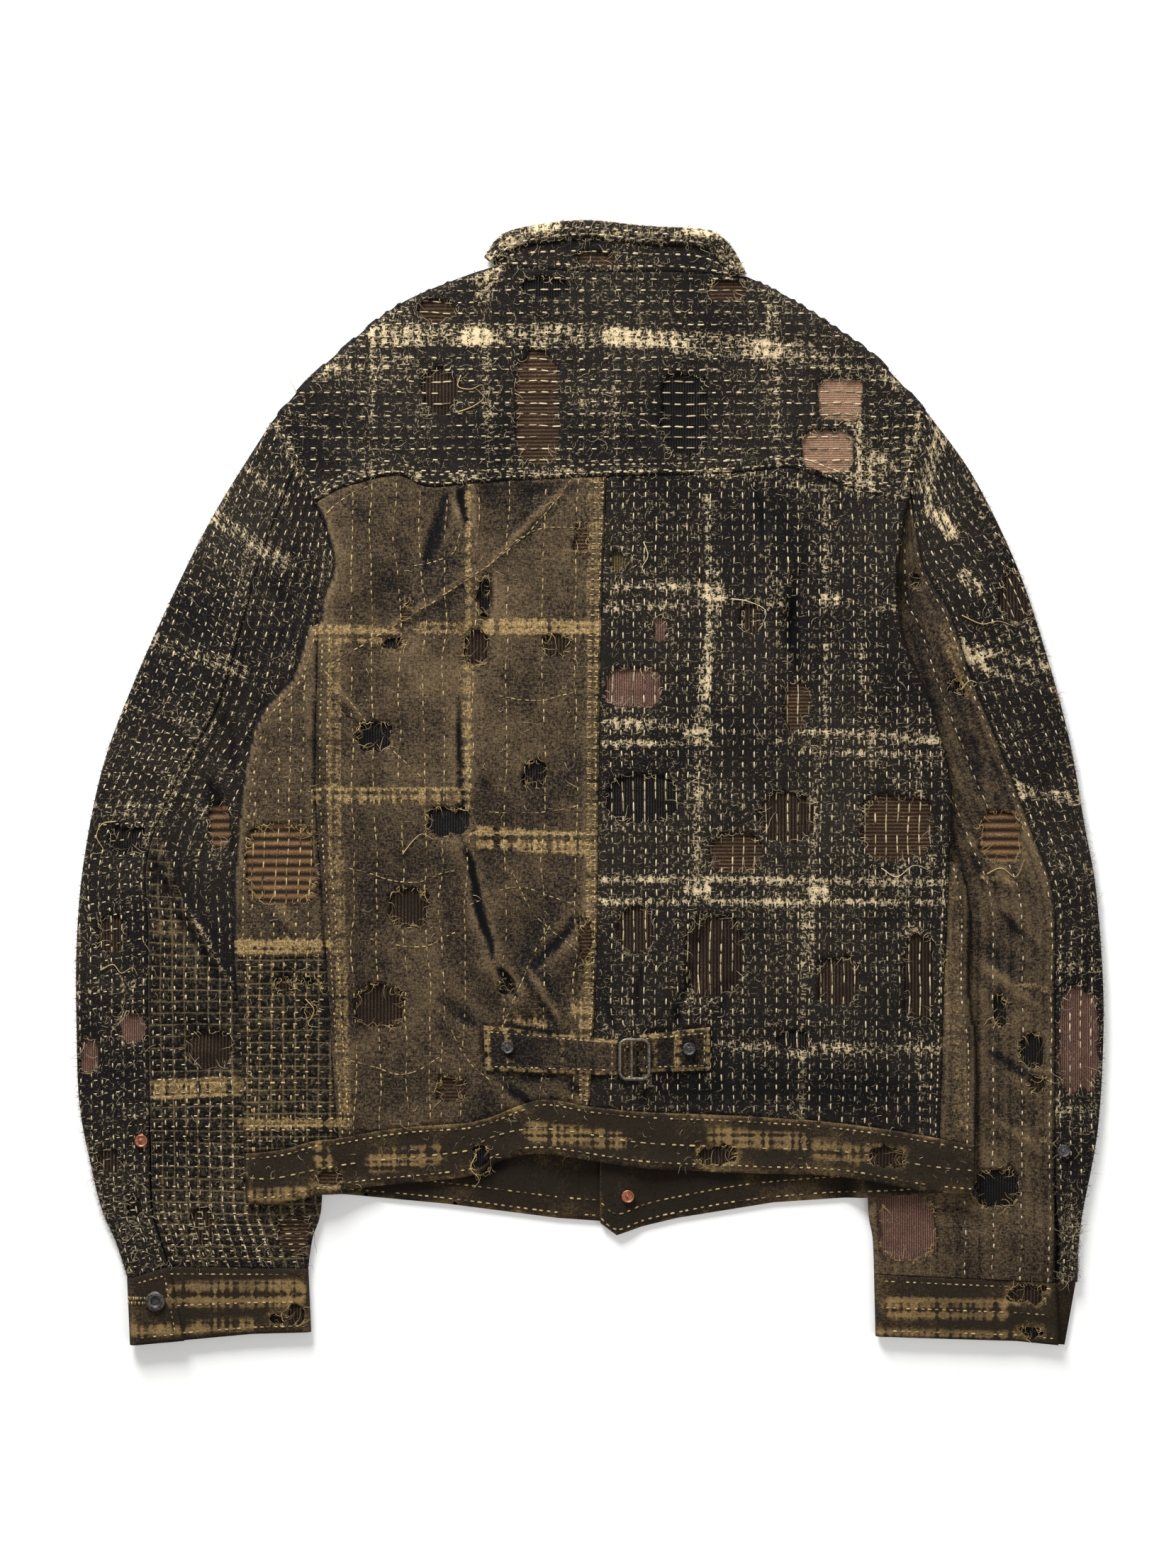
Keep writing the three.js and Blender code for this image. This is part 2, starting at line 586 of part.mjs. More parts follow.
// Sleeves: each half is a wall from the top seam, round its fold, to the bottom seam on the floor
const SLEEVE_ROWS = 18;
const SLEEVE_STEPS = { top: { outer: 5, inner: 6 }, bottom: 2 };
const SLEEVE_FOLD = (SLEEVE_HEIGHT - CLOTH) / 2;

// A station between two rows of a sleeve's table
function stationAt(rows, t) {
  const at = t * (rows.length - 1);
  const i = Math.min(rows.length - 2, Math.floor(at));
  const rowAt = (k) => rows[Math.min(rows.length - 1, Math.max(0, k))];
  const curve = (key) => {
    const [a, b, c, d] = [i - 1, i, i + 1, i + 2].map((k) => rowAt(k)[key]);
    const w = at - i;
    return b + 0.5 * w * (c - a + w * (2 * a - 5 * b + 4 * c - d + w * (3 * (b - c) + d - a)));
  };
  return Object.fromEntries(Object.keys(rows[0]).map((key) => [key, curve(key)]));
}

function sleeveHalf(rows, half) {
  const grid = [];
  for (let j = 0; j <= SLEEVE_ROWS; j++) {
    const station = stationAt(rows, j / SLEEVE_ROWS);
    const seam = new THREE.Vector2(station.seamX, station.seamY);
    const outer = new THREE.Vector2(station.outerX, station.outerY);
    const end = half === 'outer' ? outer : new THREE.Vector2(station.innerX, station.innerY);
    const direction = end.clone().sub(seam).normalize();
    const reach = end.distanceTo(seam) - SLEEVE_FOLD - CLOTH / 2;
    const section = joined(
      flat(station.vent, reach, SLEEVE_HEIGHT - CLOTH / 2, 1, SLEEVE_STEPS.top[half]),
      bend(reach, SLEEVE_HEIGHT / 2, SLEEVE_FOLD, QUARTER, -QUARTER),
      flat(reach, SEAM / 2, CLOTH / 2, -1, SLEEVE_STEPS.bottom),
    );
    const row = placed(section, seam, direction);
    row.slice(0, SLEEVE_STEPS.top[half] + 1).forEach(({ at }) => {
      const bare = clamp01(outer.distanceTo(new THREE.Vector2(at.x, at.y)) / station.show);
      at.z += station.puff * Math.sin(Math.PI * bare) ** 2;
    });
    grid.push(row);
  }
  const columns = turned(grid);
  drawRowsIn(columns, seamIn, seamIn);
  return turned(columns);
}

for (const [side, rows] of Object.entries(SLEEVES)) {
  const colours = side === 'left' ? [COLOUR.black, COLOUR.olive] : [COLOUR.charcoal, COLOUR.olive];
  ['outer', 'inner'].forEach((half, k) => {
    addPanel(`sleeve_${side}_${half}`, sleeveHalf(rows, half), colours[k], { ripsFrom: SLEEVE_HEIGHT / 2 });
  });
}

// Cuffs: a folded band, whose ends lap under the button on the left and lie open on the right
const CUFFS = {
  left: {
    top: [[-327, -350.4], [-297, -341.4], [-199, -342.9]],
    bottom: [[-325, -397], [-238, -389], [-197, -388]],
  },
  right: {
    top: [[201, -347.1], [329, -353.1], [345, -353.1]],
    bottom: [[202, -391], [300, -394], [340, -398]],
  },
};
const CUFF = {
  rows: 3, steps: { upper: 6, lower: 4, tab: 2 },
  tabTop: -297, tabBottom: -286, lap: 14, ventTop: 329, ventBottom: 331, underTop: 344, underBottom: 336,
  upper: CUFF_HEIGHT - HEM_CLOTH / 2, lower: HEM_CLOTH / 2,
};
const yOn = (points, x) => {
  const rows = points.map(([px, py]) => ({ x: -px, y: py }));
  return level(rows, 'x', 'y', -x);
};

function cuffGrid({ top, bottom }, sectionAt) {
  return Array.from({ length: CUFF.rows + 1 }, (_, j) => {
    const t = j / CUFF.rows;
    const row = placed(sectionAt(t), new THREE.Vector2(0, 0), new THREE.Vector2(1, 0));
    row.forEach(({ at }) => {
      at.y = mix(yOn(top, at.x), yOn(bottom, at.x), t);
    });
    return row;
  });
}

const cuffFold = (CUFF.upper - CUFF.lower) / 2;
function cuffLeftSection(t) {
  const tab = CUFF.upper + HEM_CLOTH + SEAT;
  const tabFold = (tab - CUFF.lower) / 2;
  const tabEnd = mix(CUFF.tabTop, CUFF.tabBottom, t);
  const leftBend = mix(CUFFS.left.top[0][0], CUFFS.left.bottom[0][0], t) + HEM_CLOTH / 2 + tabFold;
  const rightBend = mix(CUFFS.left.top[2][0], CUFFS.left.bottom[2][0], t) - HEM_CLOTH / 2 - cuffFold;
  return joined(
    flat(tabEnd - CUFF.lap, rightBend, CUFF.upper, 1, CUFF.steps.upper),
    bend(rightBend, CUFF_HEIGHT / 2, cuffFold, QUARTER, -QUARTER),
    flat(rightBend, leftBend, CUFF.lower, -1, CUFF.steps.lower),
    bend(leftBend, (tab + CUFF.lower) / 2, tabFold, -QUARTER, -3 * QUARTER),
    flat(leftBend, tabEnd, tab, 1, CUFF.steps.tab),
  );
}

function cuffRightSection(t) {
  const leftBend = mix(CUFFS.right.top[0][0], CUFFS.right.bottom[0][0], t) + HEM_CLOTH / 2 + cuffFold;
  return joined(
    flat(mix(CUFF.ventTop, CUFF.ventBottom, t), leftBend, CUFF.upper, 1, CUFF.steps.upper),
    bend(leftBend, CUFF_HEIGHT / 2, cuffFold, QUARTER, 3 * QUARTER),
    flat(leftBend, mix(CUFF.underTop, CUFF.underBottom, t), CUFF.lower, -1, CUFF.steps.lower),
  );
}
addPanel('cuff_left', cuffGrid(CUFFS.left, cuffLeftSection), COLOUR.black, { thickness: HEM_CLOTH });
addPanel('cuff_right', cuffGrid(CUFFS.right, cuffRightSection), COLOUR.black, { thickness: HEM_CLOTH });

// Fronts: flat on the floor at the centre and over a sleeve at the side
const FRONT_CENTRE_STEPS = 5;
function frontColumns(edge, fold, centre) {
  const inward = Math.sign(centre - edge);
  const foldEnd = inward * Math.max(inward * (fold + inward * FOLD_MARGIN), inward * edge + FOLD_MARGIN);
  const rampEnd = foldEnd + inward * FRONT_RAMP;
  const side = [edge, (edge + foldEnd) / 2, foldEnd, (foldEnd + rampEnd) / 2];
  const steps = Array.from({ length: FRONT_CENTRE_STEPS + 1 }, (_, k) => k / FRONT_CENTRE_STEPS);
  return side.concat(steps.map((t) => mix(rampEnd, centre, t)));
}

const lapFall = PLACKET.rampEnd - PLACKET.right;
const lapHeight = (x) => PLACKET.rise * (1 - smooth((x - PLACKET.right - FOLD_MARGIN) / lapFall));
const frontRightMid = (x, y) => frontMid(x, y) + lapHeight(x);

const LAP_COLUMNS = [0, 8, 15, 23]; // columns of the lapped front, from its edge
const frontLeftPlan = FRONTS.map(({ y, left, scoop }) => {
  const columns = frontColumns(left, level(innerFold.left, 'y', 'x', y), PLACKET.right - scoop);
  return columns.map((x) => new THREE.Vector2(x, y));
});
const frontRightPlan = FRONTS.map(({ y, right, scoop }) => {
  const lapEnd = PLACKET.rampEnd + FOLD_MARGIN + scoop;
  const columns = frontColumns(right, level(innerFold.right, 'y', 'x', y), lapEnd);
  const lapColumns = LAP_COLUMNS.map((step) => PLACKET.left + scoop + step).reverse();
  return columns.concat(lapColumns).map((x) => new THREE.Vector2(x, y));
});
addPanel('front_left', drape(frontLeftPlan, frontMid), COLOUR.olive);
addPanel('front_right', drape(frontRightPlan, frontRightMid), COLOUR.charcoal);

// Hem bands of the fronts, which sag below the back
function hemFront(row, edge, mid) {
  const rowAt = (t) => row.map(({ x }) => new THREE.Vector2(x, mix(FRONT_HEM_TOP, yOn(edge, x), t)));
  return drape([0, 0.5, 1].map(rowAt), mid);
}
const lowestRow = (plan) => plan[plan.length - 1];
const [PLACKET_TIP_X] = FRONT_HEM_RIGHT[1];
const tipColumn = new THREE.Vector2(PLACKET_TIP_X, FRONT_HEM_TOP);
const hemRightRow = lowestRow(frontRightPlan).concat(tipColumn).sort((a, b) => b.x - a.x);
addPanel('hem_front_left', hemFront(lowestRow(frontLeftPlan), FRONT_HEM_LEFT, frontMid), COLOUR.black);
addPanel('hem_front_right', hemFront(hemRightRow, FRONT_HEM_RIGHT, frontRightMid), COLOUR.black);

// Collar: a stand above the neck seam, and the fall that turns over it from behind
const COLLAR = { lip: 9, lipMid: BACK_MID + CLOTH + SEAT, under: 0.75, steps: { stand: 3, fall: 2 } };
const collarFold = (COLLAR.lipMid - CLOTH / 2) / 2;
const collarEdge = along(COLLAR_EDGE, STEPS.neck);
const collarLines = neck.map((start, i) => {
  const reach = collarEdge[i].distanceTo(start) - collarFold - CLOTH / 2;
  return { start, direction: collarEdge[i].clone().sub(start).normalize(), reach };
});
addPanel('collar_stand', collarLines.map(({ start, direction, reach }) => (
  placed(flat(SEAM / 2, reach - SEAT, BACK_MID, 1, COLLAR.steps.stand), start, direction)
)), COLOUR.charcoal);
addPanel('collar_fall', collarLines.map(({ start, direction, reach }) => placed(joined(
  flat(reach - Math.min(COLLAR.lip, reach / 2), reach, COLLAR.lipMid, 1, COLLAR.steps.fall),
  bend(reach, (COLLAR.lipMid + CLOTH / 2) / 2, collarFold, QUARTER, -QUARTER),
  flat(reach, reach * (1 - COLLAR.under), CLOTH / 2, -1, COLLAR.steps.fall),
), start, direction)), COLOUR.charcoal);

// Cinch across the lower back
const CINCH_REACH = 7; // half a step of a strap
const onBack = (x, y) => restAt(['back_left', 'back_right'], x, y, CINCH_REACH) + STRAP_CLOTH / 2;
function addStrap(name, corners, steps) {
  const [topLeft, topRight, bottomRight, bottomLeft] = corners;
  const plan = patchOf({
    top: straight([topLeft, topRight], steps), bottom: straight([bottomLeft, bottomRight], steps),
    left: straight([topLeft, bottomLeft], 2), right: straight([topRight, bottomRight], 2),
  });
  addPanel(name, drape(plan, onBack), COLOUR.charcoal, { thickness: STRAP_CLOTH });
}
addStrap('cinch_strap_left', [[-75, -171], [20, -181], [20, -206], [-74, -203]], 8);
addStrap('cinch_tail', [[20.4, -182], [32.6, -181], [34, -211], [21.4, -211]], 2);
addStrap('cinch_strap_right', [[34.4, -177], [85, -172], [85, -203], [34.4, -204]], 5);
const STRAPS = ['cinch_strap_left', 'cinch_tail', 'cinch_strap_right'];

const metal = { metalness: 0.8, roughness: 0.45 };
function addBuckle() {
  const { left, right, top, bottom, wire } = BUCKLE;
  const box = (x0, x1, y0, y1) => vectors([[x0, y0], [x1, y0], [x1, y1], [x0, y1]]);
  const shape = new THREE.Shape(box(left, right, bottom, top));
  shape.holes.push(new THREE.Path(box(left + wire, right - wire, bottom + wire, top - wire)));
  const points = STRAPS.flatMap((name) => panels[name].grid.flat());
  const under = points.filter(({ at }) => at.x > left - CINCH_REACH && at.x < right + CINCH_REACH);
  const z = Math.max(...under.map(({ at }) => at.z)) + STRAP_CLOTH / 2 + SEAT;
  const frame = new THREE.ExtrudeGeometry(shape, { depth: wire, bevelEnabled: false });
  addMesh('cinch_buckle', frame, COLOUR.steel, metal).position.z = z;
}
addBuckle();

// Turned pieces of metal, each seated on the cloth that it fastens
const ROUND_STEPS = 14;
function addTurned(name, profile, place, carriers, radius, colour) {
  const points = profile.map(([r, z]) => new THREE.Vector2(r, z));
  const geometry = new THREE.LatheGeometry(points, ROUND_STEPS).rotateX(QUARTER);
  const mesh = addMesh(name, geometry, colour, metal);
  mesh.position.set(place[0], place[1], restAt(carriers, place[0], place[1], radius));
}
const { radius: rivetR, height: rivetH, pip } = RIVET;
const rivetProfile = [
  [0, 0], [rivetR, 0], [rivetR, 0.4 * rivetH], [0.75 * rivetR, rivetH], [pip, 0.7 * rivetH], [0, rivetH],
];
const { radius: buttonR, height: buttonH, hole, rim } = BUTTON;
const buttonProfile = [
  [0, 0], [buttonR, 0], [buttonR, buttonH - rim], [buttonR - rim, buttonH],
  [hole + rim, buttonH], [hole, 0.5 * buttonH], [0, 0.5 * buttonH],
];
const RIVETS = [
  { name: 'rivet_cinch_left', place: [-58, -186], on: ['cinch_strap_left'], colour: COLOUR.gunmetal },
  { name: 'rivet_cinch_right', place: [70, -187], on: ['cinch_strap_right'], colour: COLOUR.gunmetal },
  { name: 'rivet_vent_left', place: [-316, -252], on: ['sleeve_left_outer'], colour: COLOUR.copper },
  { name: 'rivet_vent_right', place: [334, -259], on: ['sleeve_right_outer'], colour: COLOUR.gunmetal },
  { name: 'rivet_front', place: [27, -292], on: ['hem_front_right'], colour: COLOUR.copper },
];
RIVETS.forEach(({ name, place, on, colour }) => addTurned(name, rivetProfile, place, on, rivetR, colour));
addTurned('cuff_button', buttonProfile, [-306, -365], ['cuff_left'], buttonR, COLOUR.gunmetal);

// The origin is the middle of the footprint, on the floor
const box = new THREE.Box3().setFromObject(jacket);
const middle = box.getCenter(new THREE.Vector3());
jacket.position.set(-middle.x, -middle.y, -box.min.z);

export default jacket;
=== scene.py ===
import math

import bpy
import numpy as np
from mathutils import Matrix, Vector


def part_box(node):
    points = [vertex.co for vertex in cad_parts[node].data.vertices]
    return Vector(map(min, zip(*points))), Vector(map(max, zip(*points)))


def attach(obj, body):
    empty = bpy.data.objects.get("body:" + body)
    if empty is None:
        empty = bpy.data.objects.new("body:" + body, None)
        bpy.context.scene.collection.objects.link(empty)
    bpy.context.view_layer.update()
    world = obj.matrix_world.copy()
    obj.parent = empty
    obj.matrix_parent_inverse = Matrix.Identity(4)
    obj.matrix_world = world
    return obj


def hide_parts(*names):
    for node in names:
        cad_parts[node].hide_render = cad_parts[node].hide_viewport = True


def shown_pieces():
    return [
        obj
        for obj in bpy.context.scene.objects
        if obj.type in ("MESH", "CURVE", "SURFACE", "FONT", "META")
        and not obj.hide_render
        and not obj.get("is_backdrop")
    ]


# patched boro jacket, laid flat with its back up; tables are in millimetres in the frame's own axes
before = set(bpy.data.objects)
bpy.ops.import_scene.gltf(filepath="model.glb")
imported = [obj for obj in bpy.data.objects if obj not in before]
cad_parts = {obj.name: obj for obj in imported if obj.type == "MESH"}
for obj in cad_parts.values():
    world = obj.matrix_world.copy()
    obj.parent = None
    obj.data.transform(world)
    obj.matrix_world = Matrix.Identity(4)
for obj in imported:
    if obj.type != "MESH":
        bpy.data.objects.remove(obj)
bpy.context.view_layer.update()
print("frame loaded:", len(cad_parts), "nodes")

mm = 0.001
dice = np.random.default_rng(11)


def rows(columns, values):
    names = columns.split()
    return [dict(zip(names, row)) for row in values]


# camera and light, straight above as in the photograph
view = {"distance": 2.2, "longSide": 1.106, "centre": (-0.00125, -0.00075), "clothTop": 0.010}
lamps = rows("name place size power", [
    ("keyLamp", (-0.7, 1.75, 1.12), 0.9, 74.0),
    ("fillLamp", (1.3, -0.9, 2.0), 2.2, 17.0),
])


def makeStage():
    cameraData = bpy.data.cameras.new("overheadCamera")
    cameraData.lens = cameraData.sensor_width * view["distance"] / view["longSide"]
    overhead = bpy.data.objects.new("overheadCamera", cameraData)
    overhead.location = (*view["centre"], view["distance"] + view["clothTop"])
    bpy.context.scene.collection.objects.link(overhead)
    bpy.context.scene.camera = overhead
    for lamp in lamps:
        data = bpy.data.lights.new(lamp["name"], "AREA")
        data.size = lamp["size"]
        data.energy = lamp["power"]
        light = bpy.data.objects.new(lamp["name"], data)
        light.location = lamp["place"]
        light.rotation_euler = (-light.location).to_track_quat("-Z", "Y").to_euler()
        bpy.context.scene.collection.objects.link(light)
    world = bpy.data.worlds.new("paleRoom")
    world.use_nodes = True
    world.node_tree.nodes["Background"].inputs["Color"].default_value = (1.0, 0.99, 0.975, 1)
    world.node_tree.nodes["Background"].inputs["Strength"].default_value = 0.30
    bpy.context.scene.world = world
    bpy.context.scene.view_settings.view_transform = "Standard"


# plan of the jacket: points of each edge, from its upper or left end
edges = {
    "neck": [(-66, 366), (-35, 363), (10, 361), (60, 361), (102, 359)],
    "shoulderLeft": [(-226, 254), (-201, 283), (-175, 307), (-136, 338), (-93, 357), (-66, 366)],
    "shoulderRight": [(102, 359), (114, 357), (150, 338), (197, 306), (216, 287), (237, 264)],
    "armholeLeft": [(-226, 254), (-207, 224), (-194, 197)],
    "armholeRight": [(237, 264), (226, 205), (224.5, 197)],
    "yokeSeamLeft": [(-194, 197), (-172, 209), (-136, 217), (-113, 209), (-61, 213), (12, 216)],
    "yokeSeamRight": [(12, 216), (60, 217), (117, 220), (144, 222), (182, 209), (224.5, 197)],
    "centreSeam": [(12, 216), (8, 100), (6, -30), (5, -130), (0, -228)],
    "freeLeft": [(-194, 197), (-187.5, 186), (-185, 176), (-180, 154), (-187, 132), (-191, 112)],
    "sideSeamLeft": [(-191, 112), (-193, -2), (-187, -98), (-181, -198), (-177, -250)],
    "sideEdgeLeft": [(-199, 109), (-210, 75), (-235, 43), (-247, -20), (-251, -100), (-246, -181),
                     (-244, -261)],
    "freeRight": [(224.5, 197), (221.5, 186), (221, 176), (218, 155), (217, 130), (223, 97), (240, 57),
                  (253, 9), (256, -28), (253, -55)],
    "sideSeamRight": [(253, -55), (249, -148), (248, -198), (246, -250)],
    "sideEdgeRight": [(262, -57), (268, -87), (268, -148), (273, -189), (272, -255)],
    "sideHemLeft": [(-244, -261), (-217, -258), (-195, -252), (-177, -250)],
    "backHemLeft": [(-177, -250), (-130, -243), (-81, -239), (-49, -227), (-30, -223), (0, -228)],
    "backHemRight": [(0, -228), (38, -232), (105, -235), (180, -240), (229, -247), (246, -250)],
    "sideHemRight": [(246, -250), (272, -255)],
    "hemEdge": [(-242, -296), (-219, -296), (-172, -287), (-86, -278), (-63, -267), (-30, -262), (38, -272),
                (120, -276), (180, -278), (233, -287), (271, -291)],
    "collarEdge": [(-75, 372), (-58, 390), (-8, 398), (40, 394), (82, 391), (99, 381), (111, 360)],
    "frontHemLeft": [(-236, -289), (-176, -291), (-101, -298), (-23, -308), (20, -311)],
    "frontHemRight": [(7, -311), (19, -320), (37, -314), (62, -308), (130, -297), (265, -288)],
}
fronts = rows("y left right scoop", [
    (344, -112, 134, 62), (320, -152, 170, 40), (290, -186, 203, 12), (254, -217, 230, 0), (224, -203, 226, 0),
    (197, -188, 220, 0), (176, -174, 212, 0), (154, -167, 208, 0), (132, -177, 209, 0), (112, -184, 213, 0),
    (73, -204, 227, 0), (43, -230, 239, 0), (-20, -242, 251, 0), (-57, -244, 249, 0), (-100, -246, 263, 0),
    (-181, -241, 266, 0), (-257.7, -238, 266, 0),
])
sleeves = {
    "left": rows("outerX outerY seamX seamY innerX innerY show puff vent", [
        (-226, 254, -207, 224, -176, 160, 80, 0, .15), (-263, 195, -231, 161, -186, 125, 88, 3, .15),
        (-290, 143, -245, 110, -193, 75, 92, 5, .15), (-320, 77, -262, 54, -195, 30, 84, 6, .15),
        (-344, 13, -287, 9, -193, -15, 90, 5, .15), (-358, -56, -311, -50, -192, -60, 100, 6, .15),
        (-363, -115, -311, -105, -191, -110, 102, 5, .15), (-363, -174, -311, -165, -190, -165, 106, 6, .15),
        (-361, -227, -310, -222, -190, -220, 104, 5, .15), (-353, -270, -310, -262, -189, -265, 96, 2, .6),
        (-345, -302, -309, -300, -190, -302, 96, 0, .8), (-335, -325, -303, -322, -196, -322, 130, 2, .8),
        (-327, -350, -297, -341, -199, -342.5, 128, 0, .8),
    ]),
    "right": rows("outerX outerY seamX seamY innerX innerY show puff vent", [
        (237, 264, 226, 205, 216, 150, 80, 0, .15), (271, 217, 236, 153, 214, 120, 98, 3, .15),
        (303, 151, 253, 121, 210, 90, 88, 5, .15), (325, 84, 271, 70, 204, 45, 78, 5, .15),
        (340, 27, 292, 17, 200, 0, 80, 6, .15), (350, -30, 311, -33, 198, -50, 84, 5, .15),
        (358, -75, 327, -80, 197, -95, 86, 6, .15), (363, -140, 328, -142, 196, -150, 86, 6, .15),
        (363, -190, 328, -190, 196, -200, 80, 6, .15), (359, -248, 328, -248, 196, -250, 78, 4, .15),
        (349, -302, 329, -300, 197, -302, 66, 0, 1), (346, -325, 330, -325, 200, -322, 140, 2, 2.5),
        (345, -352.7, 329, -352.7, 201, -346.7, 140, 0, 2.5),
    ]),
}

# walls and heights, as the solids have them
wall = {"cloth": 2.2, "hem": 2.8, "patch": 0.8, "strap": 1.8, "seam": 0.15, "roll": 4.6, "seat": 0.4, "rim": 0.3}
heights = {"front": 1.1, "back": 5.9, "sleeve": 8.0, "lapRise": 2.5}
drape = {"crease": 2.0, "sleeveCrease": 1.9, "broad": 0.9, "fine": 0.45}

# large folds of the back first, then the finer creases that only the dressed cloth has
folds = rows("fromX fromY toX toY width rise", [
    (-84, 216, -82, 150, 12, 3.5), (-100, 200, -112, 150, 9, -1), (-92, 20, -90, -42, 12, 2.5),
    (-90, -42, -69, -128, 14, 4), (-69, -128, -53, -148, 12, 4.5), (-40, -150, 1, -94, 14, 4),
    (118, 218, 123, 163, 12, 3), (123, 163, 136, 134, 14, 4), (130, 134, 132, 77, 14, 4.5),
    (148, 137, 149, 77, 9, -1), (66, -95, 48, -165, 13, 4), (95, -95, 78, -165, 13, 3.5), (35, -122, 33, -172, 10, 3),
    (-45, -228, -20, -268, 18, 3), (-172, 150, -140, 90, 20, 2.5), (212, 140, 185, 70, 20, 2.5),
    (-100, 60, -110, -70, 60, 2), (120, 40, 110, -60, 70, 2), (-150, -205, 200, -205, 32, 2),
])
creases = rows("fromX fromY toX toY width rise", [
    (-101, 203, -116, 148, 4.5, -3.2), (-90, 213, -88, 178, 3, -2.2), (-71, 150, -73, 110, 4, -1.6),
    (118, 219, 122, 165, 3, -2), (143, 138, 145, 76, 4.5, -3.8), (152, 160, 146, 138, 4, -1.6),
    (-13, 214, -74, 152, 3, 1.1), (-74, 152, -150, 104, 3, 0.8), (-190, 80, -140, 20, 4, 0.8),
    (-92, 60, -90, -40, 3, -1.4), (-88, -44, -67, -126, 3.5, -2.4), (-64, -130, -50, -150, 3, -2.2),
    (-38, -128, -6, -92, 4, -1.8), (-20, -170, -44, -128, 4, 1.6), (82, -92, 76, -127, 4, -2.6),
    (76, -127, 61, -158, 4, -3), (61, -158, 61, -172, 3.5, -2.4), (36, -122, 33, -174, 3, -2),
    (10, -150, 20, -178, 4, -1.6), (100, -140, 92, -172, 5, -1.6), (-110, -150, -78, -172, 6, -1.2),
    (-60, -212, -40, -228, 5, -1.8), (-15, -210, 0, -226, 5, -1.6), (40, -212, 36, -230, 4, -1.5),
    (-240, -60, -205, -105, 6, 1.0), (-238, -150, -190, -190, 6, -0.9), (190, 20, 245, -20, 7, 1.0),
    (180, -110, 240, -90, 7, -1.0), (-150, 290, -60, 250, 10, 0.9), (40, 330, 150, 280, 9, -0.8),
    (-60, 300, 40, 240, 9, 0.8), (120, 300, 200, 245, 8, 0.9), (-200, 255, -150, 235, 7, -1.0),
    (-120, -20, -60, 20, 9, 0.9), (20, 60, 70, 90, 9, 0.8), (150, -40, 210, -70, 10, 0.9),
])
sleeveCreases = rows("fromX fromY toX toY width rise", [
    (-305, -42, -288, -80, 3.5, 2.6), (-288, -80, -254, -143, 3.5, 2.6), (-312, -50, -293, -86, 4, -2.4),
    (-293, -86, -262, -140, 5, -2.6), (-270, 0, -252, -46, 6, -3.4), (-230, 150, -205, 110, 5, -1.8),
    (-262, 60, -250, 10, 6, -1.6), (-300, 60, -270, 20, 7, 1.6), (-345, -40, -315, -60, 6, -1.8),
    (-350, -90, -318, -120, 6, 1.4), (-352, -150, -320, -176, 6, -1.5), (-350, -210, -318, -238, 6, 1.3),
    (-300, -160, -255, -190, 6, -1.4), (-300, -235, -258, -250, 6, 1.3), (-290, -280, -215, -300, 7, -1.8),
    (-320, 20, -280, -10, 8, 1.4), (-300, 120, -260, 90, 7, -1.4), (-275, 165, -240, 140, 7, 1.2),
    (232, 170, 246, 120, 5, -1.8), (255, 110, 262, 70, 5, 1.4), (262, 40, 280, -10, 6, -1.8),
    (270, -40, 300, -75, 6, 1.8), (290, -90, 315, -120, 6, -1.8), (278, -130, 318, -158, 6, 1.5),
    (280, -190, 320, -212, 6, -1.7), (282, -235, 320, -262, 6, 1.4), (240, -300, 300, -318, 7, -1.7),
    (300, 130, 290, 90, 7, 1.3), (335, 20, 312, -20, 7, -1.4), (352, -100, 334, -140, 7, 1.2),
    (255, 235, 235, 190, 6, -1.2), (322, 70, 292, 60, 7, 1.1), (356, -220, 334, -250, 7, -1.2),
])


def smooth(t):
    t = np.clip(t, 0, 1)
    return t * t * (3 - 2 * t)


def curve(points, step=4.0):
    # smooth line through given points, cut into even steps
    p = np.array(points, float)
    ends = np.vstack([2 * p[0] - p[1], p, 2 * p[-1] - p[-2]])
    t = np.linspace(0, 1, 20, endpoint=False)[:, None]
    spans = zip(ends, ends[1:], ends[2:], ends[3:])
    dense = [b + 0.5 * t * (c - a + t * (2 * a - 5 * b + 4 * c - d + t * (3 * (b - c) + d - a)))
             for a, b, c, d in spans]
    dense = np.vstack(dense + [p[-1:]])
    run = np.r_[0, np.cumsum(np.linalg.norm(np.diff(dense, axis=0), axis=1))]
    even = np.linspace(0, run[-1], max(2, int(run[-1] / step) + 1))
    return np.stack([np.interp(even, run, dense[:, k]) for k in range(p.shape[1])], 1)


def toLine(x, y, line):
    best = np.full(np.shape(x), 1e9)
    for (ax, ay), (bx, by) in zip(line[:-1], line[1:]):
        dx, dy = bx - ax, by - ay
        t = np.clip(((x - ax) * dx + (y - ay) * dy) / (dx * dx + dy * dy + 1e-9), 0, 1)
        best = np.minimum(best, np.hypot(x - ax - t * dx, y - ay - t * dy))
    return best


def pastOutline(x, y, outline):
    # distance outside a closed outline, negative within it
    inside = np.zeros(np.shape(x), bool)
    for (ax, ay), (bx, by) in zip(outline, np.roll(outline, -1, 0)):
        crosses = (ay > y) != (by > y)
        inside ^= crosses & (x < ax + (y - ay) / (by - ay + 1e-12) * (bx - ax))
    away = toLine(x, y, np.vstack([outline, outline[:1]]))
    return np.where(inside, -away, away)


def ridges(table, x, y):
    rise = np.zeros(np.shape(x))
    for row in table:
        away = toLine(x, y, [(row["fromX"], row["fromY"]), (row["toX"], row["toY"])])
        rise += row["rise"] * np.exp(-(away / row["width"]) ** 2)
    return rise


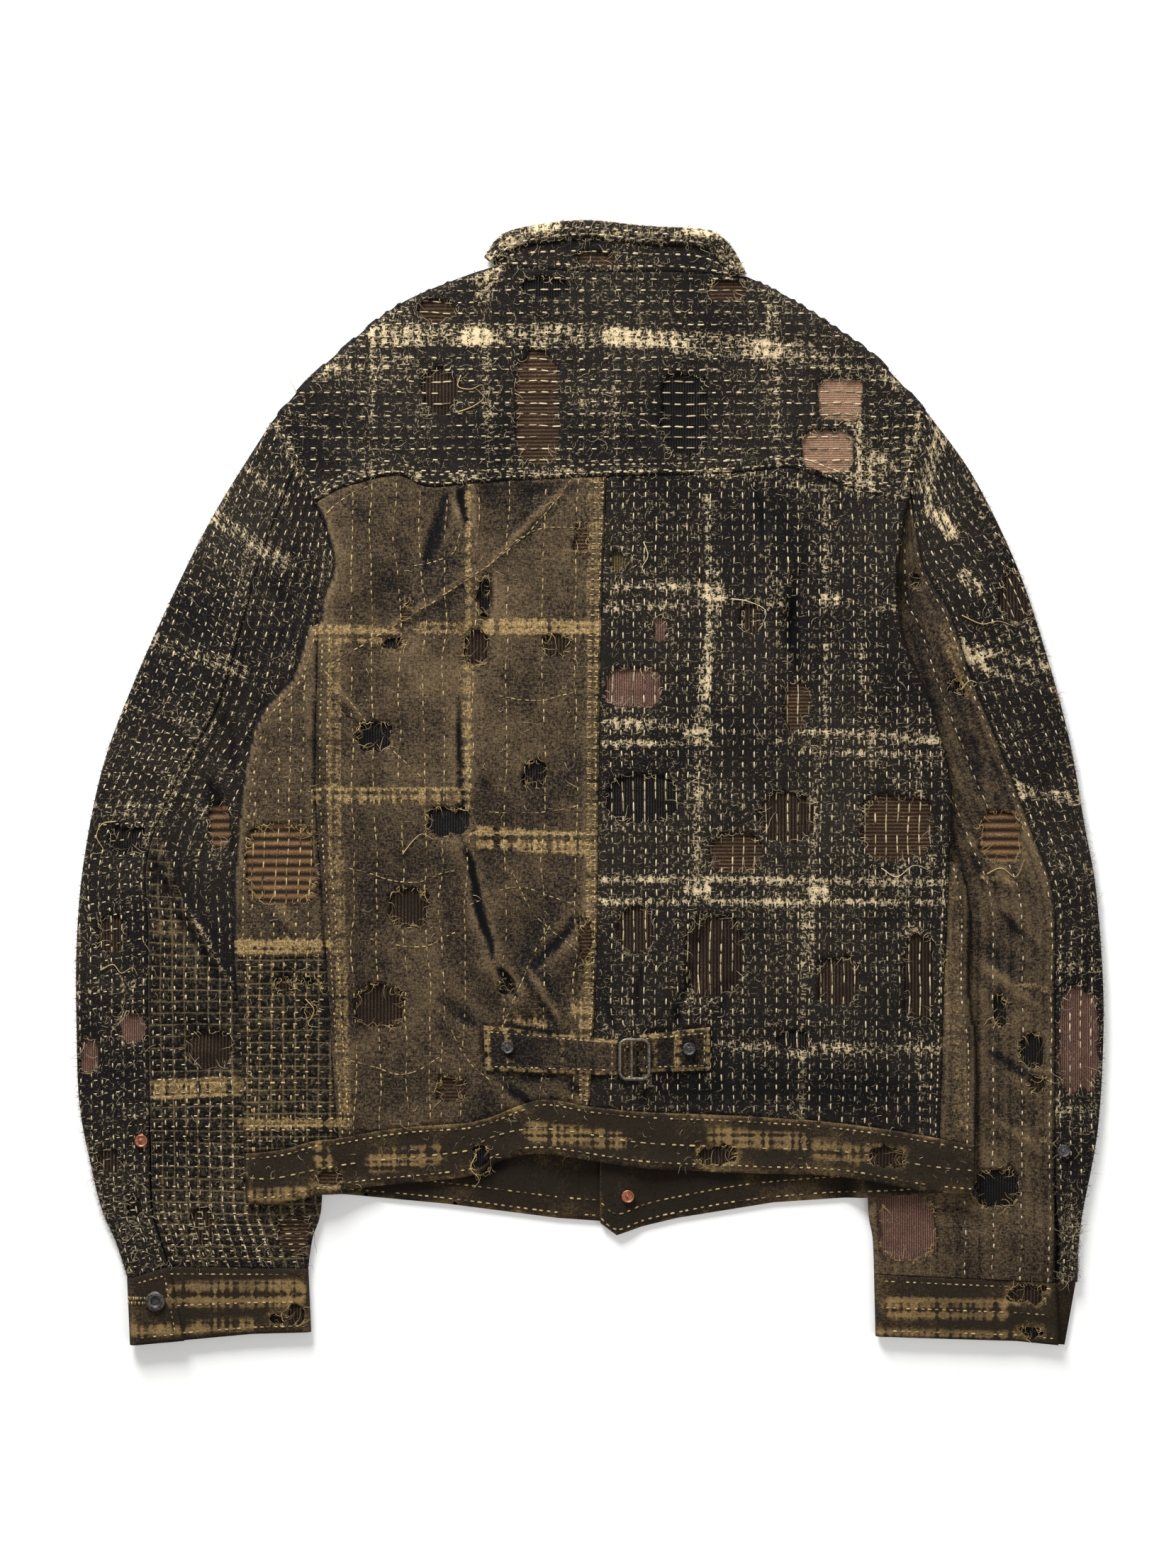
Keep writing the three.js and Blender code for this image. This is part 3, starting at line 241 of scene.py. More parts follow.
def runningOut(x, y, row):
    # distance to a crease that sways a little, and a share that fades towards its ends
    x, y = x + 2.2 * wander(x, y, 38), y + 2.2 * wander(y, x, 38)
    dx, dy = row["toX"] - row["fromX"], row["toY"] - row["fromY"]
    t = np.clip(((x - row["fromX"]) * dx + (y - row["fromY"]) * dy) / (dx * dx + dy * dy), 0, 1)
    away = np.hypot(x - row["fromX"] - t * dx, y - row["fromY"] - t * dy)
    return away, 0.12 + 0.88 * np.sin(math.pi * t) ** 0.8


def softRidges(table, x, y):
    rise = np.zeros(np.shape(x))
    for row in table:
        away, share = runningOut(x, y, row)
        rise += row["rise"] * share * np.exp(-(away / (row["width"] * (0.55 + 0.45 * share))) ** 2)
    return rise


waves = dice.uniform(0, 2 * math.pi, (9, 2))


def wander(x, y, length):
    # even, seeded unevenness between -1 and 1 over a length
    total = 0
    for k, (one, two) in enumerate(waves):
        turn = 0.7 * k
        across = (x * math.cos(turn) + y * math.sin(turn)) / (length * (0.45 + 0.14 * k))
        total = total + np.sin(2 * math.pi * across + one) * np.cos(2.1 * math.pi * across * 0.37 + two)
    return total / 4.5


def sleeveFold(side):
    first = sleeves[side][0]
    points = [(first["outerX"], first["outerY"]), (first["seamX"], first["seamY"])]
    return np.array(points + [(row["innerX"], row["innerY"]) for row in sleeves[side]], float)


foldLines = {side: sleeveFold(side) for side in sleeves}


def lift(x, y, ramp):
    # how far the sleeve under a side raises the body
    left, right = (np.interp(-y, -foldLines[side][:, 1], foldLines[side][:, 0]) for side in ("left", "right"))
    raised = 1 + 7.5 * smooth((225 - y) / 45)
    return raised * smooth((np.maximum(left - x, x - right) + 2 + ramp) / ramp)


def backTop(x, y):
    lap = 3.0 * (1 - smooth((np.abs(x - 14) - 16) / 44)) * smooth((330 - y) / 60)
    mid = heights["back"] + lift(x, y, 45) + lap + ridges(folds, x, y) + drape["crease"] * softRidges(creases, x, y)
    top = mid + wall["cloth"] / 2 + drape["broad"] * wander(x, y, 46) + drape["fine"] * wander(y, x, 19)
    resting = frontTop(x, y) + lap + wall["cloth"] + wall["seat"]
    return 0.5 * np.logaddexp(2 * top, 2 * resting)  # the deepest creases rest on the fronts


hiddenCreases = rows("fromX fromY toX toY width rise", [
    (-150, 230, -60, 160, 9, 1.1), (-170, 60, -70, 20, 10, 1.2), (-160, -120, -50, -60, 9, 1.0),
    (-110, -200, -40, -160, 8, 1.1), (60, 240, 160, 180, 9, 1.1), (60, 90, 170, 40, 10, 1.2),
    (70, -40, 180, -90, 9, 1.0), (60, -190, 150, -150, 8, 1.1), (-330, 60, -250, 0, 8, 1.0),
    (-350, -90, -230, -130, 8, 1.1), (-340, -210, -220, -240, 8, 1.0), (250, 90, 320, 20, 8, 1.0),
    (230, -70, 350, -110, 8, 1.1), (220, -220, 350, -190, 8, 1.0),
])


def frontTop(x, y):
    return heights["front"] + lift(x, y, 16) + wall["cloth"] / 2 + ridges(hiddenCreases, x, y)


def lappedTop(x, y):
    return frontTop(x, y) + heights["lapRise"] * (1 - smooth((x - 22) / 18))


# windows worn through the cloth, with the cloth that backs each; sewn ones are crossed by the stitches
windows = rows("panel x y width height cloth sewn", [
    ("back_yoke", 67, 260, 34, 60, "shadow", 1), ("back_yoke", -106, 277, 26, 34, "cord", 1),
    ("back_yoke", 168, 234, 36, 30, "pink", 1), ("back_yoke", 177, 271, 32, 30, "pink", 1),
    ("back_yoke", -37, 266, 31, 84, "rust", 1), ("back_yoke", -108, 334, 30, 17, "rust", 1),
    ("back_yoke", 96, 348, 30, 16, "rust", 1), ("back_yoke", -31, 350, 36, 14, "shadow", 1),
    ("back_left", -80, 95, 17, 26, "cord", 0), ("back_left", -24, 97, 17, 18, "cord", 0),
    ("back_left", -152, 33, 24, 20, "shadow", 0), ("back_left", -39, 6, 16, 20, "shadow", 0),
    ("back_left", -128, -88, 28, 28, "cord", 0), ("back_left", -148, -158, 33, 30, "cord", 0),
    ("back_left", -98, -216, 20, 18, "rust", 0), ("back_left", -129, 120, 8, 24, "rust", 0),
    ("back_left", -139, 98, 19, 8, "shadow", 0), ("back_left", -75, 130, 8, 34, "shadow", 0),
    ("back_left", -6, 172, 10, 22, "rust", 0), ("back_left", -100, -27, 34, 20, "shadow", 0),
    ("back_left", -3, -112, 9, 34, "rust", 0), ("back_left", -60, -143, 8, 11, "shadow", 0),
    ("side_left", -215, -143, 12, 13, "cord", 0), ("side_left", -198, -140, 20, 6, "shadow", 0),
    ("side_left", -196, -160, 11, 13, "cord", 0), ("side_left", -216, -57, 52, 56, "stripe", 1),
    ("back_right", 37, -11, 52, 34, "shadow", 1), ("back_right", 114, 116, 15, 20, "cord", 1),
    ("back_right", 146, 54, 18, 36, "rust", 1), ("back_right", 33, -104, 26, 36, "cord", 1),
    ("back_right", 175, -140, 30, 34, "cord", 1), ("back_right", 20, 156, 11, 16, "olive", 1),
    ("back_right", 49, 110, 10, 18, "mauve", 1), ("back_right", 31, 67, 40, 27, "mauve", 1),
    ("back_right", 139, -24, 40, 36, "cord", 1), ("back_right", 103, -50, 40, 28, "rust", 1),
    ("back_right", 216, -32, 50, 46, "rust", 1), ("back_right", 88, -122, 40, 58, "cord", 1),
    ("back_right", 232, -137, 22, 66, "cord", 1), ("back_right", 144, -182, 26, 14, "shadow", 1),
    ("hem_back", 208, -263, 26, 14, "cord", 0), ("hem_back", -184, -279, 21, 9, "rust", 0),
    ("hem_back", 90, -263, 28, 14, "cord", 0), ("hem_back", -76, -267, 13, 20, "shadow", 0),
    ("sleeve_left_inner", -268, -188, 32, 26, "cord", 0), ("sleeve_left_inner", -274, -313, 17, 30, "cord", 1),
    ("sleeve_left_inner", -208, -318, 24, 32, "rust", 1), ("sleeve_left_inner", -262, -30, 15, 34, "stripe", 0),
    ("sleeve_left_outer", -337, -107, 22, 26, "cord", 1), ("sleeve_left_outer", -326, -41, 27, 20, "shadow", 1),
    ("sleeve_left_outer", -323, -172, 19, 22, "mauve", 0), ("sleeve_left_outer", -353, -193, 13, 25, "mauve", 0),
    ("sleeve_left_outer", -339, -267, 20, 17, "cord", 1), ("sleeve_left_outer", -322, -300, 12, 14, "shadow", 1),
    ("sleeve_right_inner", 290, -38, 28, 36, "stripe", 0), ("sleeve_right_inner", 288, -286, 30, 28, "shadow", 0),
    ("sleeve_right_inner", 311, -188, 16, 26, "shadow", 0), ("sleeve_right_inner", 289, -161, 8, 25, "shadow", 0),
    ("sleeve_right_inner", 316, -212, 12, 12, "cord", 0), ("sleeve_right_inner", 258, 68, 11, 10, "shadow", 0),
    ("sleeve_right_inner", 229, 143, 8, 12, "shadow", 0), ("sleeve_right_inner", 224, -314, 40, 46, "mauve", 1),
    ("sleeve_right_outer", 345, -182, 29, 76, "mauve", 1), ("sleeve_right_outer", 301, 132, 24, 40, "cord", 1),
    ("cuff_left", -221, -379, 9, 8, "shadow", 0), ("cuff_left", -207, -375, 12, 16, "cord", 0),
    ("cuff_right", 308, -361, 26, 13, "cord", 0), ("cuff_right", 312, -388, 17, 8, "shadow", 0),
    ("collar_stand", 4, 371, 32, 10, "rust", 1),
])
worn = {"squareness": 3.0, "ragged": 2.0, "sink": 0.9, "sinkReach": 3.0, "below": 2.3, "margin": 3.5}


def inWindow(window, x, y):
    # distance inside a window's ragged outline, negative outside it
    across = np.abs(x - window["x"]) / (window["width"] / 2)
    up = np.abs(y - window["y"]) / (window["height"] / 2)
    sewnOn = window["cloth"] in ("mauve", "pink", "stripe")
    power = 5.0 if sewnOn else worn["squareness"] - 0.8 + (7.3 * abs(window["x"]) + 3.1 * abs(window["y"])) % 2.2
    reach = (across ** power + up ** power + 1e-9) ** (1 / power)
    ragged = worn["ragged"] * wander(x + window["y"], y + window["x"], 12)
    return (1 - reach) * min(window["width"], window["height"]) / 2 + ragged


def windowsOf(name):
    return [window for window in windows if window["panel"] == name]


def windowField(name, x, y):
    field = np.full(np.shape(x), -1e9)
    for window in windowsOf(name):
        field = np.maximum(field, inWindow(window, x, y))
    return field


# a panel keeps the grid of its outer face, which stitches, patches and fibres are laid on
panels = {}


class Panel:
    def __init__(self, name, grid, past, thickness, grain):
        self.name, self.grid, self.thickness, self.grain = name, grid, thickness, grain
        self.past = past  # distance past the cloth's own edge, for each point
        self.edge = np.full(grid.shape[:2], -9.0)
        self.cut = None  # flat size of a turned sheet, measured along the cloth
        down = np.gradient(grid, axis=0)
        across = np.gradient(grid, axis=1)
        up = np.cross(down, across)
        self.up = up / (np.linalg.norm(up, axis=2, keepdims=True) + 1e-9)
        panels[name] = self

    def sample(self, j, i):
        # point and upward direction between grid points
        rowCount, columnCount = self.grid.shape[:2]
        j, i = np.clip(j, 0, rowCount - 1.001), np.clip(i, 0, columnCount - 1.001)
        a, b = j.astype(int), i.astype(int)
        v, u = (j - a)[:, None], (i - b)[:, None]
        both = np.concatenate([self.grid, self.up], 2)
        top = both[a, b] * (1 - u) + both[a, b + 1] * u
        low = both[a + 1, b] * (1 - u) + both[a + 1, b + 1] * u
        found = top * (1 - v) + low * v
        return found[:, :3], found[:, 3:]

    def nearest(self, x, y):
        # grid place of plan points, among the points that face up
        flat = self.grid.reshape(-1, 3)
        facing = np.flatnonzero(self.up.reshape(-1, 3)[:, 2] > 0.25)
        found = [facing[np.argmin((flat[facing, 0] - a) ** 2 + (flat[facing, 1] - b) ** 2)] for a, b in zip(x, y)]
        found = np.array(found, int)
        return (found // self.grid.shape[1]).astype(float), (found % self.grid.shape[1]).astype(float)


def planPanel(name, outline, top, cell, thickness, rolled=()):
    # lattice over an outline, laid at the cloth's height, with its free edges rolled down
    outline = np.array(outline)
    low, high = outline.min(0) - 2 * cell, outline.max(0) + 2 * cell
    x, y = np.meshgrid(np.arange(low[0], high[0], cell), np.arange(high[1], low[1], -cell))

    def past(x, y):
        edge = pastOutline(x, y, outline) + wall["seam"]
        return np.maximum(edge, np.minimum(windowField(name, x, y), -edge - worn["margin"]))

    field = past(x, y)
    near = np.abs(field) < 0.75 * cell
    step = 0.2
    slopeX = (past(x[near] + step, y[near]) - past(x[near] - step, y[near])) / (2 * step)
    slopeY = (past(x[near], y[near] + step) - past(x[near], y[near] - step)) / (2 * step)
    steep = np.maximum(slopeX ** 2 + slopeY ** 2, 0.3)
    shift = np.clip(field[near] / steep, -0.75 * cell, 0.75 * cell)
    snapped = np.abs(field[near]) < 0.55 * cell
    x[near] -= np.where(snapped, shift * slopeX, 0)
    y[near] -= np.where(snapped, shift * slopeY, 0)
    z = top(x, y)
    for line in rolled:
        inward = np.clip(toLine(x, y, line), 0, wall["roll"])
        z = z - (wall["roll"] - np.sqrt(wall["roll"] ** 2 - (wall["roll"] - inward) ** 2)) * 0.92
    hole = np.clip(-windowField(name, x, y), 0, 99)
    z = np.maximum(z - worn["sink"] * np.exp(-hole / worn["sinkReach"]), thickness)  # nothing dips below the floor
    panel = Panel(name, np.stack([x, y, z], 2), np.where(np.abs(field) < 0.55 * cell, 0, field), thickness, None)
    panel.cell, panel.low, panel.high, panel.outline = cell, low, high, outline
    panel.edge = pastOutline(x, y, outline)


def sectionPanel(name, grid, out, thickness, grain, cell=2.6):
    # rings of sections, as a sleeve, a cuff or a collar has, with its windows cut from the upper face
    x, y = grid[..., 0], grid[..., 1]
    field = np.where(out[..., 2] > 0.8, windowField(name, x, y), -1e9)
    hole = np.clip(-field, 0, 99)
    grid = grid.copy()
    grid[..., 2] -= worn["sink"] * np.exp(-hole / worn["sinkReach"])
    panel = Panel(name, grid, np.where(np.abs(field) < 0.4 * cell, 0, field), thickness, grain)
    panel.up = out
    panel.cut = [np.linalg.norm(np.diff(grid, axis=k), axis=2).sum(k).max() for k in (1, 0)]


# outlines of the body's panels
lines = {name: curve(points) for name, points in edges.items()}


def around(*parts):
    # closed outline of edges named in order, a minus sign for one that runs backwards
    runs = [lines[part.strip("-")][::-1] if part.startswith("-") else lines[part] for part in parts]
    return np.vstack(runs)


def stretch(start, end, step=4.0):
    return curve([edges[start[0]][start[1]], edges[end[0]][end[1]]], step)


lines["sideTopLeft"] = stretch(("sideEdgeLeft", 0), ("sideSeamLeft", 0))
lines["sideTopRight"] = stretch(("sideSeamRight", 0), ("sideEdgeRight", 0))
lines["hemEndLeft"] = stretch(("hemEdge", 0), ("sideHemLeft", 0))
lines["hemEndRight"] = stretch(("sideHemRight", 1), ("hemEdge", -1))
stitchPitch = {"yoke": 8.0, "right": 7.75, "sleeve": 7.75}


def quilted(top, axis, pitch, depth):
    # the cloth swells between its rows of stitches
    def raised(x, y):
        across = (x if axis == "x" else y) + 1.4 * wander(x, y, 60)
        return top(x, y) + depth * (np.abs(np.sin(math.pi * across / pitch)) - 0.5)
    return raised


def felled(top, names, width, rise):
    # a turned seam allowance raises the cloth beside a seam
    def raised(x, y):
        away = np.min([toLine(x, y, lines[name]) for name in names], 0)
        return top(x, y) + rise * smooth((width - away) / 1.6) - 0.9 * np.exp(-(away / 1.1) ** 2)
    return raised


def makeBody():
    yokeTop = felled(quilted(backTop, "y", stitchPitch["yoke"], 0.7), ("yokeSeamLeft", "yokeSeamRight"), 9, 0.9)
    planPanel("back_yoke", around("shoulderLeft", "neck", "shoulderRight", "armholeRight", "-yokeSeamRight",
                                  "-yokeSeamLeft", "-armholeLeft"), yokeTop, 2.667, wall["cloth"],
              (lines["shoulderLeft"], lines["shoulderRight"]))
    leftTop = felled(backTop, ("centreSeam",), 12, 0.7)
    planPanel("back_left", around("yokeSeamLeft", "centreSeam", "-backHemLeft", "-sideSeamLeft", "-freeLeft"),
              leftTop, 2.6, wall["cloth"], (lines["freeLeft"],))
    rightTop = quilted(backTop, "x", stitchPitch["right"], 0.7)
    planPanel("back_right", around("yokeSeamRight", "freeRight", "sideSeamRight", "-backHemRight", "-centreSeam"),
              rightTop, 2.583, wall["cloth"], (lines["freeRight"],))
    planPanel("side_left", around("sideTopLeft", "sideSeamLeft", "-sideHemLeft", "-sideEdgeLeft"),
              felled(backTop, ("sideSeamLeft",), 8, 0.6), 2.6, wall["cloth"], (lines["sideEdgeLeft"],))
    planPanel("side_right", around("sideTopRight", "sideEdgeRight", "-sideHemRight", "-sideSeamRight"),
              felled(backTop, ("sideSeamRight",), 6, 0.5), 2.6, wall["cloth"], (lines["sideEdgeRight"],))
    hemSeams = ("sideHemLeft", "backHemLeft", "backHemRight", "sideHemRight")
    planPanel("hem_back", around(*hemSeams, "hemEndRight", "-hemEdge", "hemEndLeft"),
              felled(lambda x, y: backTop(x, y) + 0.3, ("hemEdge",), 9, 0.5), 2.4, wall["hem"],
              (lines["hemEndLeft"], lines["hemEndRight"]))
    print("body panels laid")


def makeFronts():
    # plain hidden fronts, on the floor at the centre and over the sleeves at the sides
    left = [(row["left"], row["y"]) for row in fronts] + [(20 - row["scoop"], row["y"]) for row in fronts[::-1]]
    right = [(row["right"], row["y"]) for row in fronts] + [(7 + row["scoop"], row["y"]) for row in fronts[::-1]]
    planPanel("front_left", left, frontTop, 6.0, wall["cloth"])
    planPanel("front_right", right, lappedTop, 6.0, wall["cloth"])
    hemTop = fronts[-1]["y"] - 0.3
    for name, edge, top in (("hem_front_left", "frontHemLeft", frontTop),
                            ("hem_front_right", "frontHemRight", lappedTop)):
        points = np.array(edges[edge], float)
        outline = [(points[0, 0], hemTop), (points[-1, 0], hemTop), *points[::-1]]
        planPanel(name, outline, top, 3.0, wall["cloth"])
    print("fronts laid")


def station(table, t):
    # smooth values between the rows of a sleeve's table
    names = list(table[0])
    values = np.array([[row[name] for name in names] for row in table], float)
    at = t * (len(values) - 1)
    i = np.minimum(at.astype(int), len(values) - 2)
    w = (at - i)[:, None]
    a, b, c, d = (values[np.clip(i + k, 0, len(values) - 1)] for k in (-1, 0, 1, 2))
    found = b + 0.5 * w * (c - a + w * (2 * a - 5 * b + 4 * c - d + w * (3 * (b - c) + d - a)))
    return {name: found[:, k] for k, name in enumerate(names)}


def bendOf(count, start, end):
    angle = np.linspace(start, end, count)
    return np.cos(angle), np.sin(angle)


sleeveCut = {"rows": 240, "outer": 26, "inner": 46, "bend": 7, "under": 5, "quilt": 0.7, "lowest": 4.4}


def makeSleeve(side, half):
    at = station(sleeves[side], np.linspace(0, 1, sleeveCut["rows"]))
    radius = (heights["sleeve"] - wall["cloth"]) / 2
    seam = np.stack([at["seamX"], at["seamY"]], 1)
    outer = np.stack([at["outerX"], at["outerY"]], 1)
    end = outer if half == "outer" else np.stack([at["innerX"], at["innerY"]], 1)
    away = end - seam
    length = np.linalg.norm(away, axis=1)
    direction = away / length[:, None]
    reach = length - radius - wall["cloth"] / 2
    upper = at["vent"][:, None] + (reach - at["vent"])[:, None] * np.linspace(0, 1, sleeveCut[half])
    cosine, sine = bendOf(sleeveCut["bend"], math.pi / 2, -math.pi / 2)
    bend = reach[:, None] + radius * cosine
    under = reach[:, None] + (wall["seam"] - reach)[:, None] * np.linspace(0, 1, sleeveCut["under"])
    s = np.hstack([upper, bend[:, 1:-1], under])
    count = len(s)
    z = np.hstack([np.full(upper.shape, 6.9), np.tile(4 + radius * sine[1:-1], (count, 1)), np.full(under.shape, 1.1)])
    outS = np.hstack([0 * upper, np.tile(cosine[1:-1], (count, 1)), 0 * under])
    outZ = np.hstack([0 * upper + 1, np.tile(sine[1:-1], (count, 1)), 0 * under - 1])
    x = seam[:, :1] + direction[:, :1] * s
    y = seam[:, 1:] + direction[:, 1:] * s
    bare = np.clip(np.hypot(x - outer[:, :1], y - outer[:, 1:]) / at["show"][:, None], 0, 1)
    z += np.where(outZ > 0.99, at["puff"][:, None] * np.sin(math.pi * bare) ** 2, 0)
    raised = drape["sleeveCrease"] * softRidges(sleeveCreases, x, y)
    raised += drape["broad"] * wander(x, y, 40) + drape["fine"] * wander(y, x, 18)
    raised += sleeveCut["quilt"] * (np.abs(np.sin(math.pi * s / stitchPitch["sleeve"])) - 0.5)
    raised -= 0.9 * np.exp(-(s / 1.2) ** 2) - 0.8 * smooth((7 - s) / 1.6)
    z += np.where(outZ > 0.5, raised * bare ** 0.3, np.where(outZ < -0.9, ridges(hiddenCreases, x, y), 0))
    z = np.where(outZ > 0.5, 0.5 * np.logaddexp(2 * z, 2 * sleeveCut["lowest"]), z)
    out = np.stack([direction[:, :1] * outS, direction[:, 1:] * outS, outZ], 2)
    grid = np.stack([x, y, z], 2) + out * wall["cloth"] / 2
    run = np.r_[0, np.cumsum(np.linalg.norm(np.diff(seam, axis=0), axis=1))]
    grain = np.stack([s, np.tile(-run[:, None], (1, s.shape[1]))], 2)
    sectionPanel(f"sleeve_{side}_{half}", grid, out, wall["cloth"], grain)


cuffs = {
    "left": {"top": [(-327, -350.4), (-297, -341.4), (-199, -342.9)],
             "bottom": [(-325, -397), (-238, -389), (-197, -388)]},
    "right": {"top": [(201, -347.1), (329, -353.1), (345, -353.1)],
              "bottom": [(202, -391), (300, -394), (340, -398)]},
    "rows": 21, "fold": 2.6, "upper": 6.6, "lower": 1.4, "tab": 9.8,
}


def between(a, b, t):
    return a + (b - a) * t


def makeCuff(side):
    cut = cuffs[side]
    half = wall["hem"] / 2
    allRows = []
    for t in np.linspace(0, 1, cuffs["rows"]):
        ends = [between(cut["top"][k][0], cut["bottom"][k][0], t) for k in (0, -1)]
        if side == "left":
            tabEnd, tabFold = between(-297, -286, t), (cuffs["tab"] - cuffs["lower"]) / 2
            leftBend, rightBend = ends[0] + half + tabFold, ends[1] - half - cuffs["fold"]
            runs = [("flat", tabEnd - 14, rightBend, cuffs["upper"], 1, 46),
                    ("bend", rightBend, cuffs["fold"], 4.0, math.pi / 2, -math.pi / 2, 7),
                    ("flat", rightBend, leftBend, cuffs["lower"], -1, 12),
                    ("bend", leftBend, tabFold, (cuffs["tab"] + cuffs["lower"]) / 2, -math.pi / 2, -1.5 * math.pi, 8),
                    ("flat", leftBend, tabEnd, cuffs["tab"], 1, 14)]
        else:
            leftBend = ends[0] + half + cuffs["fold"]
            runs = [("flat", between(329, 331, t), leftBend, cuffs["upper"], 1, 50),
                    ("bend", leftBend, cuffs["fold"], 4.0, math.pi / 2, 1.5 * math.pi, 7),
                    ("flat", leftBend, between(344, 336, t), cuffs["lower"], -1, 14)]
        section = []
        for run in runs:
            if run[0] == "flat":
                _, start, end, z, facing, count = run
                section += [(s, z, 0, facing) for s in np.linspace(start, end, count)]
            else:
                _, s, radius, z, start, end, count = run
                cosine, sine = bendOf(count, start, end)
                section += [(s + radius * c, z + radius * n, c, n) for c, n in zip(cosine[1:-1], sine[1:-1])]
        section = np.array(section)
        yTop = np.interp(section[:, 0], *np.array(cut["top"]).T)
        yBottom = np.interp(section[:, 0], *np.array(cut["bottom"]).T)
        y = between(yTop, yBottom, t)
        ripple = np.where(section[:, 3] > 0.9, 0.4 * wander(section[:, 0], y, 26) + 0.5 * math.sin(math.pi * t), 0)
        out = np.stack([section[:, 2], 0 * y, section[:, 3]], 1)
        allRows.append((np.stack([section[:, 0], y, section[:, 1] + ripple], 1) + out * half, out))
    grid, out = (np.stack([row[k] for row in allRows]) for k in (0, 1))
    sectionPanel(f"cuff_{side}", grid, out, wall["hem"] - 0.3, grid[..., :2].copy(), 2.4)


collar = {"stations": 110, "lip": 9.0, "lipMid": 8.5, "fold": 3.7, "under": 0.75}


def makeCollar():
    ends = [curve(edges[name], 1.0) for name in ("neck", "collarEdge")]
    pick = np.linspace(0, 1, collar["stations"])
    start, edge = (pointsAt(pick, np.linspace(0, 1, len(end)), end) for end in ends)
    away = edge - start
    length = np.linalg.norm(away, axis=1)
    direction = away / length[:, None]
    reach = (length - collar["fold"] - wall["cloth"] / 2)[:, None]
    half = wall["cloth"] / 2

    def placed(s, z, outS, outZ):
        out = np.stack([direction[:, :1] * outS, direction[:, 1:] * outS, outZ + 0 * s], 2)
        x, y = start[:, :1] + direction[:, :1] * s, start[:, 1:] + direction[:, 1:] * s
        lumps = np.where(outZ > 0.4, 0.6 * wander(x, y, 22) + 0.35 * wander(x, y, 9), 0)
        return np.stack([x, y, z + lumps], 2) + out * half, out

    t = np.linspace(0, 1, 12)
    s = wall["seam"] + (reach - wall["seat"] - wall["seam"]) * t
    grid, out = placed(s, heights["back"] + 0 * s, 0 * s, 0 * s + 1)
    sectionPanel("collar_stand", grid, out, wall["cloth"], grid[..., :2].copy())
    lip = np.minimum(collar["lip"], reach / 2)
    cosine, sine = bendOf(9, math.pi / 2, -math.pi / 2)
    lipS = reach - lip * np.linspace(1, 0, 6)
    bendS = reach + collar["fold"] * cosine[1:-1]
    underS = reach * (1 - collar["under"] * np.linspace(0, 1, 5))
    lipZ = collar["lipMid"] + 0.9 * np.sin(np.linspace(0.1, 0.9, 6) * math.pi) - 1.2 * np.linspace(1, 0, 6) ** 3
    ones = np.ones_like(reach)
    s = np.hstack([lipS, bendS, underS])
    z = np.hstack([ones * lipZ, ones * (4.8 + collar["fold"] * sine[1:-1]), ones * np.full(5, 1.1)])
    outS = np.hstack([0 * lipS, ones * cosine[1:-1], 0 * underS])
    outZ = np.hstack([0 * lipS + 1, ones * sine[1:-1], 0 * underS - 1])
    grid, out = placed(s, z, outS, outZ)
    sectionPanel("collar_fall", grid, out, wall["cloth"], grid[..., :2].copy())
    print("collar turned")


straps = {
    "cinch_strap_left": [(-75, -171), (20, -181), (20, -206), (-74, -203)],
    "cinch_tail": [(20.4, -182), (32.6, -181), (34, -211), (21.4, -211)],
    "cinch_strap_right": [(34.4, -177), (85, -172), (85, -203), (34.4, -204)],
}


def strapTop(x, y):
    beside = [(dx, dy) for dx in (-7, 0, 7) for dy in (-7, 0, 7)]
    highest = np.max([backTop(x + dx, y + dy) for dx, dy in beside], 0)
    return highest + wall["seat"] + wall["strap"] + 0.25 * wander(x, y, 18)


def makeStraps():
    for name, corners in straps.items():
        outline = np.vstack([curve([corners[k], corners[(k + 1) % 4]], 3.0)[:-1] for k in range(4)])

        def edged(x, y, outline=outline):
            inward = -pastOutline(x, y, outline)
            sewn = 0.3 * np.exp(-((inward - 4.2) / 1.2) ** 2)
            return strapTop(x, y) - 0.8 * np.exp(-np.clip(inward, 0, 99) / 1.2) + sewn
        planPanel(name, outline, edged, 1.6, wall["strap"])
    print("cinch straps laid")


